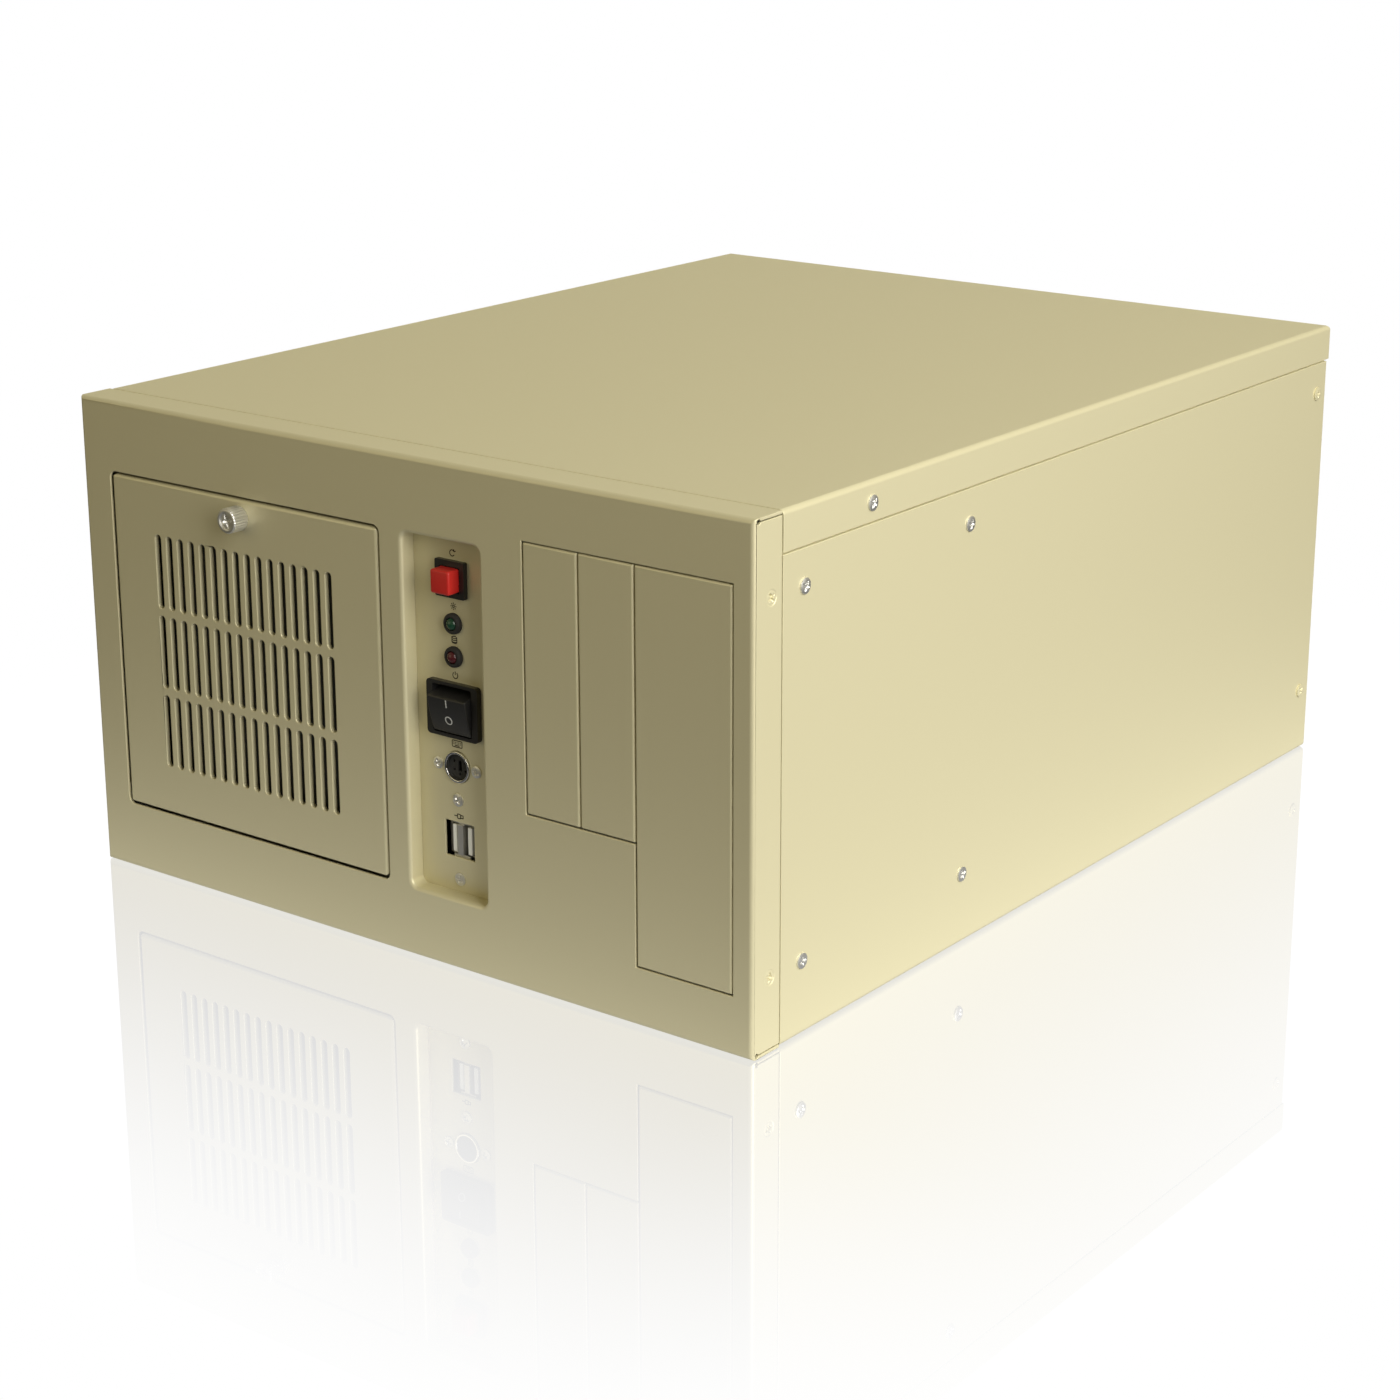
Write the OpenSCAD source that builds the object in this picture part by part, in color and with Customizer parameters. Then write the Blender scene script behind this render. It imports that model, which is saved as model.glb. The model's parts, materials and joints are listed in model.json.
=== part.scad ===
// Industrial desktop computer case lying flat: painted sheet-steel chassis with a lift-off
// cover, a swing-down filter door, a front control panel, drive bays, card slots and power
// supply. Millimetres. Origin at the centre of the base, front towards -Y, +Z up.

/* [Case] */
// Width across the side walls
case_w = 330; // [324:1:400]
// Depth from front face to the cover's rear lip
case_d = 430; // [420:1:520]
// Height from base to top face
case_h = 195; // [190:1:240]
// Thickness of the steel sheet
sheet_t = 1.2; // [1:0.1:1.6]
// Outside radius of the folded edges
bend_r = 2; // [1.8:0.1:3]
// Depth of the front cover, face to seam
cover_depth = 16.4; // [16:0.2:20]
// Height of the top cover's folded lips
lip_h = 14.9; // [12:0.1:18]
// Gap between neighbouring sheets
seam_gap = 0.2; // [0.1:0.05:0.4]
// How far the top cover's rear lip stands behind the rear panel
rear_overhang = 2; // [1.8:0.1:4]

/* [Filter door] */
// Left side wall to the door opening
door_margin = 15.3; // [14:0.1:20]
// Base to the door opening
door_bottom = 27.7; // [22:0.1:34]
// Width of the door opening
door_open_w = 144.3; // [140:0.1:150]
// Height of the door opening
door_open_h = 138.9; // [134:0.1:142]
// Gap round the door
door_gap = 1; // [0.9:0.05:1.2]
// Depth of the door's folded edge
door_fold = 5; // [4.6:0.1:5.2]
// Vent slots across
vent_cols = 16; // [8:1:18]
// Rows of vent slots
vent_rows = 3; // [1:1:3]
// Width of a vent slot
vent_w = 3.3; // [2:0.1:4]
// Length of a vent slot
vent_len = 30; // [20:0.5:31]
// Spacing of the slots across
vent_pitch = 6.13; // [5:0.01:7]
// Spacing of the slot rows
vent_row_pitch = 33; // [32:0.5:36]
// Radius of the hinge pins
pin_r = 1.2; // [0.9:0.05:1.5]
// Running clearance of a pin or shaft in its hole
run_gap = 0.05; // [0.02:0.01:0.09]
// Radius of the thumb screw's head
knob_r = 5; // [4:0.1:6]
// Length of the thumb screw's head
knob_len = 7.5; // [6:0.5:12]

/* [Controls] */
// Right side wall to the middle of the control recess
recess_from_right = 140.75; // [138:0.25:142]
// Width of the control recess
recess_w = 37.5; // [34:0.5:38]
// Height of the control recess
recess_h = 138; // [134:1:142]
// Base to the control recess
recess_bottom = 28; // [24:0.5:32]
// Depth of the control recess
recess_depth = 7; // [5:0.1:9]
// Height of the reset button's middle
reset_z = 150; // [148:0.5:152]
// Height of the power lamp
power_led_z = 132.9; // [131:0.1:134]
// Height of the disk lamp
disk_led_z = 120.2; // [119:0.1:121]
// Height of the power switch's middle
power_z = 99.9; // [99:0.1:101]
// Height of the keyboard socket
socket_z = 77.4; // [76:0.1:79]
// Height of the USB ports' middle
usb_z = 48.5; // [47:0.1:50]
// Spacing of the USB ports' screws
usb_screw_pitch = 31.5; // [28:0.1:33]
// Travel of the reset button
reset_travel = 1.6; // [1:0.1:2]
// Turn of the power rocker from off to on, in degrees
rocker_swing = 27.4; // [20:0.2:28]

/* [Drive bays] */
// Right side wall to the bays
bay_from_right = 9.2; // [9:0.1:14]
// Base to the wide bay
bay_bottom = 23; // [18:0.1:26]
// Width of the wide bay's cover, which stands on edge
wide_w = 41.95; // [40:0.05:42.5]
// Length of the wide bay's cover
wide_h = 148.2; // [146:0.1:149]
// Width of a narrow bay's cover
narrow_w = 24.6; // [24:0.05:25.4]
// Length of a narrow bay's cover
narrow_h = 101.5; // [100:0.1:102]
// Gap between bay covers
bay_gap = 0.5; // [0.3:0.05:0.8]
// Length of the drive cage
cage_d = 150; // [130:1:160]

/* [Front fan] */
// Side of the square fan
fan_size = 120; // [110:1:122]
// Depth of the fan
fan_d = 25; // [20:1:30]
// Spacing of the fan's screws
fan_pitch = 105; // [96:0.5:106]
// Number of blades
fan_blades = 7; // [5:1:9]

/* [Cards] */
// Number of card slots
slot_count = 8; // [7:1:8]
// Spacing of the card slots
slot_pitch = 20.32; // [20:0.01:20.6]
// Left side wall to the first slot's middle
slot_margin = 19; // [18:0.5:20]
// Length of the cards
card_len = 185; // [150:1:190]
// Height of the card shelf above the base
shelf_z = 122.2; // [118:0.1:130]

/* [Power supply] */
// Width of the power supply
psu_w = 86; // [80:1:88]
// Height of the power supply
psu_h = 150; // [146:1:154]
// Depth of the power supply
psu_d = 140; // [120:1:150]

/* [Screws] */
// Radius of a case screw's head
head_r = 2.9; // [2.5:0.1:3.2]
// Height of a case screw's head
head_h = 1; // [0.8:0.1:1.6]
// Radius of a case screw's shank
shank_r = 1.5; // [1.2:0.1:1.7]

/* [Hidden] */
$fn = 48;
t = sheet_t;
eps = 0.01;
hole_gap = 0.15;                     // radial room of a screw in a plain hole
yf = -case_d / 2;                    // front face
y_seam = yf + cover_depth;           // rear edge of the front cover
y_rear = case_d / 2 - rear_overhang; // rear face of the body
x_wall = case_w / 2;                 // outside of the right wall
x_in = x_wall - t;                   // inside of the walls
z_lip = case_h - lip_h;              // lower edge of the top cover's lips
z_top = case_h - t - seam_gap;       // top of what the cover rests on
x_step = x_in - seam_gap;            // outside of the stepped-in upper walls
return_w = 11.6;                     // inward fold along the top of the walls
frame_y = y_seam - t;                // front of the inner front frame
cage_y = y_seam + t;                 // front of the drive cage

// Door
door_x0 = -x_wall + door_margin;
door_cx = door_x0 + door_open_w / 2;
door_w = door_open_w - 2 * door_gap;
door_h = door_open_h - 2 * door_gap;
door_z0 = door_bottom + door_gap;
door_cz = door_z0 + door_h / 2;
door_bend = 1.5;                     // outside radius of the door's folds
pin_y = yf + 2.8;                    // hinge axis
pin_z = door_z0 + 3;
ear_gap = 0.3;                       // hinge ear to the opening's edge
knob_z = door_z0 + door_h - 7.1;
knob_gap = 0.1;                      // knob to the door
knob_shank_r = 2;
knob_tip = 6.5;                      // shank length behind the door's face
standoff_r = 4.5;
vent_cx = door_cx - 0.6;
vent_cz = door_cz - 0.8;
vent_mid = [vent_cx, vent_cz];
vent_drawn = 1;          // how far the slots' rims are drawn in behind the sheet
vent_reach = [(vent_cols - 1) * vent_pitch + vent_w + 3,
    (vent_rows - 1) * vent_row_pitch + vent_len + 3] / 2;

// Controls
ctl_x = x_wall - recess_from_right;
ctl_y = yf + recess_depth;           // front of the control panel
ctl_back = ctl_y + t;                // back of the control panel
recess_r = 3;
rocker_r = 10.5;                     // rocker's radius about its pivot
rocker_w = 18.4;
rocker_y = ctl_y + 3;                // rocker's pivot
rocker_bezel = [24.8, 21.2, 2.4];
rocker_body = [22, 19.2, 20];
rocker_window = [19, 18.6];
reset_bezel = 14;
reset_cap = 9;
reset_out = 5.5;                     // cap ahead of its bezel
lamp_r = 2.5;
lamp_holder_r = 4;
plug_r = 6.1;                        // keyboard socket's shell
plug_screw = 9.4;                    // its screws, from the middle
usb_w = 14.5;
usb_h = 14;
usb_port_w = 4.7;
usb_port_x = usb_w / 4 + 0.05;       // a port's middle from the pair's middle
usb_port_h = 12.4;
usb_rim_in = 3;                      // shell's outer rim behind the panel's face

// Bays
bay_x1 = x_wall - bay_from_right;
bay_x0 = bay_x1 - wide_w;            // wide cover's left edge
bay_z0 = bay_bottom;
bay_z1 = bay_bottom + wide_h;
narrow_z0 = bay_z1 - narrow_h;
narrow_b = bay_x0 - bay_gap - narrow_w;
narrow_a = narrow_b - bay_gap - narrow_w;
bay_fold = 6;                        // folded edge of a bay cover
tab_d = 26;                          // bay cover's fixing tab, from the front face
cage_t = 1;
cage_gap = 0.3;                      // cage to the drives and tabs
drive_w = 25.4;
drive_l = 147;

// Fan
fan_cz = door_cz - 0.3;
fan_y = y_seam;
fan_bore = 0.479 * fan_size;
hub_r = 19.5;
motor_t = 3;
blade_tilt = 32;
blade_t = 1.4;

// Cards
slot_x0 = -x_wall + slot_margin;
pocket_d = 12;                       // slot plate inside the rear face
slot_y = y_rear - t - pocket_d;      // inner face of the slot plate
slot_open_w = 14.2;
bracket_w = 18.4;
bracket_t = 0.8;
pocket_z0 = 12;
board_z = 9.2;                       // top of the backplane's spacers
board_t = 1.6;
socket_h = 11;
card_z0 = board_z + board_t + 4;
card_off = 5.6;                      // card's plane from its slot's middle
cpu_slot = 6;
io_slot = 2;

// Power supply
psu_x1 = x_in - t - 0.5;
psu_x0 = psu_x1 - psu_w;
psu_cx = (psu_x0 + psu_x1) / 2;
psu_y1 = y_rear - t;
psu_y0 = psu_y1 - psu_d;
psu_z0 = 2 * t + 0.1;
psu_t = 0.8;
psu_fan_z = psu_z0 + psu_h - 47;
psu_fan_r = 38.5;
inlet_z = psu_z0 + 30;
inlet_dx = 12;                       // inlet left and switch right of the middle
psu_switch_dx = 21.6;
psu_rocker_r = 8.5;                  // the power supply's rocker, about its pivot
psu_rocker_w = 10.6;
psu_rocker_tilt = 9;
psu_rocker_in = 2;                   // its pivot behind the case's rear face
guard_rings = [10, 17, 24, 31, 38];
guard_wire = 0.8;                    // radius of the guard's wire

// Fastener places
cover_screw_y = yf + 9.9;
screw_z_hi = bay_z1 - 5.2;
screw_z_lo = bay_z0 + 5.6;
side_screw_y = [yf + 28.9, yf + 133.9];
rear_screw_y = case_d / 2 - 10.2;
lid_screw_y = yf + 69.5;
lid_screw_z = case_h - 8.1;
lid_rear_x = x_wall - 45;
notch_w = 3.6;                       // upright notches that the cover's screws drop into
nut_w = 7;                           // half the width cut for the cover's nuts
cage_top = bay_z1 + cage_gap;        // underside of the cage's top plate
tab_y1 = yf + tab_d;
rim_w = 7;                           // tray's folded front rim
slit_w = 0.4;
ear_x = x_wall - 35;                 // threaded holes for wall-mounting ears
ear_y = case_d / 2 - 60;
ear_hole_r = 2;
slot_screw_y = slot_y + 6;
screw_t = 1.8;                       // height of an inner screw's head

// Filter, drive, boards and cables
foam_half = [door_open_w / 2 - 6, knob_z - standoff_r - 0.7 - fan_cz];
divider_x = bay_x0 - bay_gap / 2 + 0.1;
drive_x1 = divider_x - drive_w - cage_gap / 2;
drive_y0 = tab_y1 + 2;
drive_y1 = drive_y0 + drive_l + 4;   // rear of the drive's connector
board_y0 = slot_y - card_len + 20;
board_x0 = slot_x0 - 8;
board_x1 = slot_x0 + (slot_count - 1) * slot_pitch + card_off + 12;
spacer_at = [[board_x0 + 6, board_y0 + 6], [board_x1 - 6, board_y0 + 6],
    [board_x0 + 6, slot_y - 22], [board_x1 - 6, slot_y - 22]];
power_block = [board_x1 - 7, board_x1 - 1];
cpu_x = slot_x0 + cpu_slot * slot_pitch + card_off - board_t / 2;
card_face = cpu_x + board_t + 1.6;   // where the cables end, just off the processor card
sink_y = slot_y - 108;
sink_z = card_z0 + 58;
sink_half = 30;                      // half the heatsink's side
sink_base = 5;                       // its base, and its fins from the card
sink_out = 24;
sink_fins = 15;
fin_pitch = 4.2;
bar_y = slot_y - card_len * 0.45;
bar_half = 12;                       // half the hold-down bar's width
bar_h = 18;
cable_r = 3;
power_cable_r = 4;

// ---------- shared shapes ----------

// Solid drawn in the front view (x, z) and carried back from y0 by d
module front(y0, d) {
    translate([0, y0 + d, 0]) rotate([90, 0, 0]) linear_extrude(d) children();
}

// Solid drawn in the side view (y, z) and carried right from x0 by d
module side(x0, d) {
    translate([x0, 0, 0]) rotate([90, 0, 90]) linear_extrude(d) children();
}

// Box between two corners
module block(a, b) {
    translate(a) cube(b - a);
}

// Flat outline with round corners, given by its lower left and upper right corners
module round_rect(a, b, r) {
    translate([a.x + r, a.y]) square([b.x - a.x - 2 * r, b.y - a.y]);
    translate([a.x, a.y + r]) square([b.x - a.x, b.y - a.y - 2 * r]);
    for (x = [a.x + r, b.x - r], y = [a.y + r, b.y - r])
        translate([x, y]) circle(r);
}

// Outline whose two corners at its low second coordinate are round
module round_low(a, b, r) {
    translate([a.x, a.y + r]) square([b.x - a.x, b.y - a.y - r]);
    translate([a.x + r, a.y]) square([b.x - a.x - 2 * r, r + eps]);
    for (x = [a.x + r, b.x - r]) translate([x, a.y + r]) circle(r);
}

// The same, for its low first coordinate
module round_left(a, b, r) {
    translate([a.x + r, a.y]) square([b.x - a.x - r, b.y - a.y]);
    translate([a.x, a.y + r]) square([r + eps, b.y - a.y - 2 * r]);
    for (y = [a.y + r, b.y - r]) translate([a.x + r, y]) circle(r);
}

// Block from y0 to y1 whose four front edges are round
module soft_block(a, b, y0, y1, r) {
    intersection() {
        translate([0, 0, a.y]) linear_extrude(b.y - a.y) round_low([a.x, y0], [b.x, y1], r);
        side(a.x, b.x - a.x) round_left([y0, a.y], [y1, b.y], r);
    }
}

// Folded pan open at the back: face at y0, d deep
module pan(a, b, y0, d, r) {
    difference() {
        soft_block(a, b, y0, y0 + d, r);
        soft_block(a + [t, t], b - [t, t], y0 + t, y0 + d + 1, max(r - t, 0.2));
    }
}

// Cross recess cut into a screw head whose top is at z
module cross(z, size, depth) {
    for (a = [0, 90])
        rotate(a) translate([-size / 2, -size / 8, z - depth]) cube([size, size / 4, depth + 1]);
}

// Low-headed screw: head on z = 0, shank below
module screw(hr, hh, sr, len) {
    difference() {
        union() {
            cylinder(hh * 0.6, hr, hr);
            translate([0, 0, hh * 0.6]) cylinder(hh * 0.4, hr, hr * 0.75);
        }
        cross(hh, hr * 1.1, hh * 0.7);
    }
    translate([0, 0, -len]) cylinder(len + eps, r = sr);
}

// Countersunk screw, flush with z = 0
module flush_screw(hr, hh, sr, len) {
    difference() {
        translate([0, 0, -hh]) cylinder(hh, sr, hr);
        cross(0, hr * 1.1, hh * 0.6);
    }
    translate([0, 0, -len]) cylinder(len - hh + eps, r = sr);
}

// Turns a shape made along +Z to point right (1), left (-1) or forward
module to_side(s) {
    rotate([0, 90 * s, 0]) children();
}
module to_front() {
    rotate([90, 0, 0]) children();
}
module to_rear() {
    rotate([-90, 0, 0]) children();
}

// Places of repeated fasteners
module at_cover_screws() {
    for (s = [-1, 1], z = [screw_z_lo, screw_z_hi])
        translate([s * x_wall, cover_screw_y, z]) to_side(s) children();
}
module at_side_screws() {
    for (y = side_screw_y, z = [screw_z_lo, screw_z_hi])
        translate([x_wall, y, z]) to_side(1) children();
    for (z = [screw_z_lo, screw_z_hi])
        translate([-x_wall, side_screw_y[0], z]) to_side(-1) children();
}
module at_rear_screws() {
    for (s = [-1, 1], z = [screw_z_lo, screw_z_hi])
        translate([s * x_wall, rear_screw_y, z]) to_side(s) children();
}
module at_lid_side_screws() {
    for (s = [-1, 1])
        translate([s * x_wall, lid_screw_y, lid_screw_z]) to_side(s) children();
}
module at_lid_rear_screws() {
    for (s = [-1, 1])
        translate([s * lid_rear_x, case_d / 2, lid_screw_z]) to_rear() children();
}
module at_fan_screws() {
    for (i = [-1, 1], k = [-1, 1])
        translate([door_cx + i * fan_pitch / 2, frame_y, fan_cz + k * fan_pitch / 2])
            to_front() children();
}
module at_psu_screws() {
    for (x = [psu_x0 + 6, psu_x1 - 6], z = [psu_z0 + 6, psu_z0 + psu_h - 6])
        translate([x, y_rear, z]) to_rear() children();
}
module at_slots() {
    for (i = [0:slot_count - 1]) translate([slot_x0 + i * slot_pitch, 0, 0]) children();
}
module at_cage_screws() {
    for (y = [cage_y + 14, cage_y + 94], x = [narrow_a + narrow_w / 2, (bay_x0 + bay_x1) / 2])
        translate([x, y, cage_top + cage_t]) children();
}
module at_cover_tab_screws() {
    for (x = [narrow_a + narrow_w / 2, narrow_b + narrow_w / 2, (bay_x0 + bay_x1) / 2])
        translate([x, tab_y1 - 4, cage_top + cage_t]) children();
}

// ---------- chassis ----------

// Cross-section of the tray: floor, walls, stepped-in upper walls and their inward folds
module tray_section() {
    difference() {
        round_low([-x_wall, 0], [x_wall, z_lip - 0.7], bend_r);
        round_low([-x_in, t], [x_in, z_lip + 1], bend_r - t);
    }
    for (s = [0, 1]) mirror([s, 0]) {
        translate([x_step - t, z_lip - 0.7 - t]) square([x_in - x_step + t + eps, t]);
        translate([x_step - t, z_lip - 0.7 - t]) square([t, z_top - z_lip + 0.7]);
        translate([x_step - return_w, z_top - t]) square([return_w - t, t]);
        translate([x_step - t, z_top - t]) intersection() {
            circle(t);
            square(t);
        }
    }
}

module chassis_tray() color("burlywood") {
    difference() {
        translate([0, y_rear, 0]) rotate([90, 0, 0]) linear_extrude(y_rear - y_seam)
            tray_section();
        at_side_screws() cylinder(4 * t, r = shank_r + hole_gap, center = true);
        at_rear_screws() cylinder(4 * t, r = shank_r + hole_gap, center = true);
        // upright notches for the top cover's screws and nuts
        for (s = [-1, 1]) {
            block([s * x_step - 2 * t, lid_screw_y - notch_w / 2, lid_screw_z - notch_w / 2],
                [s * x_step + 2 * t, lid_screw_y + notch_w / 2, z_top + 1]);
            block([s * (x_step - t) - return_w, lid_screw_y - nut_w, z_top - 2 * t],
                [s * (x_step - t) + return_w, lid_screw_y + nut_w, z_top + 1]);
        }
        // threaded holes for wall-mounting ears
        for (x = [-1, 1], y = [-1, 1]) translate([x * ear_x, y * ear_y, -1])
            cylinder(t + 2, r = ear_hole_r);
    }
    // folded rim that the front frame is fixed to
    difference() {
        block([-x_in, y_seam, t], [x_in, cage_y, z_lip - 2 * t]);
        block([-x_in + rim_w, y_seam - 1, t + rim_w], [x_in - rim_w, cage_y + 1, case_h]);
    }
}

// Panel behind the front cover, with forward side flanges and a top flange under the cover
module front_frame() color("silver") {
    difference() {
        union() {
            block([-x_step, frame_y, t + seam_gap], [x_step, y_seam, z_top]);
            block([-x_step + return_w, frame_y, z_top - t], [x_step - return_w, y_seam + 10, z_top]);
            for (s = [-1, 1])
                block([min(s * x_step, s * (x_step - t)), yf + 3, screw_z_lo - 12],
                    [max(s * x_step, s * (x_step - t)), y_seam, screw_z_hi + 6]);
        }
        translate([door_cx, 0, fan_cz]) to_front()
            cylinder(2 * case_d, r = fan_bore, center = true);
        at_fan_screws() cylinder(4 * t, r = shank_r + hole_gap, center = true);
        front(frame_y - 1, t + 2)
            round_rect([ctl_x - recess_w / 2 + 3, recess_bottom - 2],
                [ctl_x + recess_w / 2 - 3, recess_bottom + recess_h + 2], 4);
        front(frame_y - 1, t + 2) bay_outline(bay_gap / 2);
        at_cover_screws() cylinder(8 * t, r = shank_r + hole_gap, center = true);
    }
}

// L-shaped outline round the three bays, m outside the covers
module bay_outline(m) {
    translate([bay_x0 - m, bay_z0 - m])
        square([bay_x1 - bay_x0 + 2 * m, bay_z1 - bay_z0 + 2 * m]);
    translate([narrow_a - m, narrow_z0 - m])
        square([bay_x1 - narrow_a + 2 * m, bay_z1 - narrow_z0 + 2 * m]);
}

module recess_outline(m) {
    round_rect([ctl_x - recess_w / 2 - m, recess_bottom - m],
        [ctl_x + recess_w / 2 + m, recess_bottom + recess_h + m], recess_r + m);
}

module front_cover() color("tan") {
    difference() {
        union() {
            pan([-x_wall, 0], [x_wall, case_h], yf, cover_depth, bend_r);
            front(yf + t / 2, recess_depth - t / 2) recess_outline(t);
        }
        front(yf - 1, recess_depth + 2) recess_outline(0);
        front(yf - 1, t + 2)
            round_rect([door_x0, door_bottom], [door_x0 + door_open_w, door_bottom + door_open_h],
                recess_r);
        front(yf - 1, t + 2) bay_outline(bay_gap);
        at_cover_screws() translate([0, 0, -t]) cylinder(t + eps, shank_r + 0.05, head_r + 0.05);
        at_cover_screws() cylinder(4 * t, r = shank_r + 0.05, center = true);
        // slits between the top and bottom folds and the side folds, with relief notches
        for (s = [-1, 1], z = [t + slit_w / 2, case_h - t - slit_w / 2]) {
            block([s * x_wall - 1.5 * t, yf + bend_r, z - slit_w / 2],
                [s * x_wall + 1.5 * t, y_seam + 1, z + slit_w / 2]);
            translate([s * x_wall, yf + bend_r + 0.5, z]) to_side(1)
                cylinder(3 * t, r = 0.9, center = true);
        }
    }
}

// Outline of the rear panel inside the tray's walls
module rear_outline() {
    round_low([-x_in, t], [x_in, z_lip - 3 * t], bend_r - t);
    translate([-x_step + t, 2 * t]) square([2 * (x_step - t), z_top - 3 * t]);
}

module slot_openings() {
    at_slots() translate([-slot_open_w / 2, pocket_z0 + 3])
        square([slot_open_w, shelf_z - t - pocket_z0 - 6]);
}

module rear_panel() color("burlywood") {
    pocket_a = [slot_x0 - slot_pitch / 2 - 1, pocket_z0];
    pocket_b = [slot_x0 + (slot_count - 0.5) * slot_pitch + 1, shelf_z - t];
    difference() {
        union() {
            front(y_rear - t, t) rear_outline();
            block([pocket_a.x - t, slot_y, pocket_a.y - t],
                [pocket_b.x + t, y_rear, pocket_b.y + t]);
            block([-x_step + return_w + 2, y_rear - 14, z_top - t],
                [x_step - return_w - 2, y_rear, z_top]);
            block([-x_in + 2, y_rear - 14, t], [x_in - 2, y_rear, 2 * t]);
            for (s = [0, 1]) mirror([s, 0, 0])
                block([x_in - t, y_rear - 16, 2 * t + 1], [x_in, y_rear, z_lip - 5 * t]);
        }
        block([pocket_a.x, slot_y + t, pocket_a.y], [pocket_b.x, y_rear + 1, pocket_b.y]);
        front(slot_y - 1, t + 2) slot_openings();
        // behind the power supply: fan, inlet and switch
        translate([psu_cx, y_rear, psu_fan_z]) to_rear()
            cylinder(6 * t, r = psu_fan_r, center = true);
        front(y_rear - 2 * t, 3 * t) round_rect([psu_x0 + 5, psu_z0 + 12],
            [psu_x1 - 5, psu_z0 + 50], 3);
        at_psu_screws() cylinder(8 * t, r = shank_r + hole_gap, center = true);
        // vent slots between the cards and the power supply
        for (k = [0, 1], i = [0:5]) front(y_rear - 2 * t, 3 * t)
            translate([pocket_b.x + 14 + i * 7, 74 + k * 36])
                round_rect([0, 0], [vent_w, vent_len], vent_w / 2 - eps);
        at_rear_screws() cylinder(8 * t, r = shank_r + hole_gap, center = true);
        // notches for the top cover's rear screws
        for (s = [-1, 1])
            block([s * lid_rear_x - nut_w, y_rear - 16, lid_screw_z + notch_w],
                [s * lid_rear_x + nut_w, y_rear - t - 0.5, case_h]);
        for (s = [-1, 1])
            block([s * lid_rear_x - notch_w / 2, y_rear - 16, lid_screw_z - notch_w / 2],
                [s * lid_rear_x + notch_w / 2, y_rear + 1, case_h]);
        at_slot_screws() cylinder(6 * t, r = shank_r + hole_gap, center = true);
    }
}

module front_cover_screws() color("tan")
    at_cover_screws() flush_screw(head_r, t, shank_r, 7);
module side_screws() color("silver")
    at_side_screws() screw(head_r, head_h, shank_r, 6);
module rear_panel_screws() color("tan")
    at_rear_screws() screw(head_r, head_h, shank_r, 2 * t + 0.3);

// ---------- filter door ----------

module at_hinges() {
    translate([door_x0 - ear_gap, pin_y, pin_z]) children();
    translate([door_x0 + door_open_w + ear_gap, pin_y, pin_z]) mirror([1, 0, 0]) children();
}

module hinge_brackets() color("silver") {
    at_hinges() difference() {
        union() {
            block([-t, yf + t - pin_y, -3], [0, 5, 4]);
            block([-7, yf + t - pin_y, -3], [0, yf + 2 * t - pin_y, 4]);
        }
        translate([-2 * t, 0, 0]) to_side(1) cylinder(4 * t, r = pin_r);
    }
}

module door_hinge_pins() color("silver")
    at_hinges() translate([-t, 0, 0]) to_side(1)
        cylinder(ear_gap + door_gap + 4 * t, r = pin_r);

module vent_slots() {
    for (i = [0:vent_cols - 1], k = [0:vent_rows - 1])
        translate([vent_cx + (i - (vent_cols - 1) / 2) * vent_pitch,
                vent_cz + (k - (vent_rows - 1) / 2) * vent_row_pitch])
            round_rect([-vent_w / 2, -vent_len / 2], [vent_w / 2, vent_len / 2], vent_w / 2 - eps);
}

module filter_door() color("tan") {
    a = [door_x0 + door_gap, door_z0];
    b = a + [door_w, door_h];
    difference() {
        intersection() {
            union() {
                pan(a, b, yf, door_fold, door_bend);
                front(yf + t - eps, vent_drawn + eps)
                    round_rect(vent_mid - vent_reach, vent_mid + vent_reach, 3);
            }
            front(yf - 1, door_fold + 2) round_rect(a, b, recess_r - 0.5);
        }
        front(yf - 1, t + vent_drawn + 2) vent_slots();
        translate([door_cx, yf, knob_z]) to_rear()
            cylinder(3 * t, r = knob_shank_r + 2 * run_gap, center = true);
        at_hinges() translate([-t, 0, 0]) to_side(1) cylinder(8 * t, r = pin_r + run_gap);
    }
}

module at_knob() {
    translate([door_cx, yf - knob_gap, knob_z]) to_front() children();
}

module thumb_screw() color("silver") {
    at_knob() {
        difference() {
            union() {
                cylinder(knob_len - knob_gap - 0.6, r = knob_r);
                translate([0, 0, knob_len - knob_gap - 0.6])
                    cylinder(0.6, knob_r, knob_r - 0.6);
            }
            translate([0, 0, knob_len - knob_gap - 0.8]) cylinder(2, r = knob_r - 1.4);
            cross(knob_len - knob_gap - 0.8, 4.6, 2.4);
        }
        translate([0, 0, -knob_tip]) cylinder(knob_tip + eps, r = knob_shank_r);
    }
}

module thumb_screw_clip() color("gray")
    translate([door_cx, yf + t + knob_gap, knob_z]) to_rear() difference() {
        cylinder(0.7, r = 3.4);
        translate([0, 0, -1]) cylinder(3, r = knob_shank_r);
    }

module door_standoff() color("silver") {
    y0 = yf + 3.5;
    translate([door_cx, y0, knob_z]) to_rear() difference() {
        cylinder(frame_y - y0, r = standoff_r);
        translate([0, 0, -1]) cylinder(knob_tip - 0.5, r = knob_shank_r + 0.3);
    }
}

module filter_tray() color("dimgray") {
    a = [door_cx - foam_half.x, fan_cz - foam_half.y];
    b = [door_cx + foam_half.x, fan_cz + foam_half.y];
    difference() {
        block([a.x, yf + recess_depth, a.y], [b.x, frame_y, b.y]);
        block([a.x + 1, yf, a.y + 1], [b.x - 1, frame_y + 1, b.y - 1]);
    }
}

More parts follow.
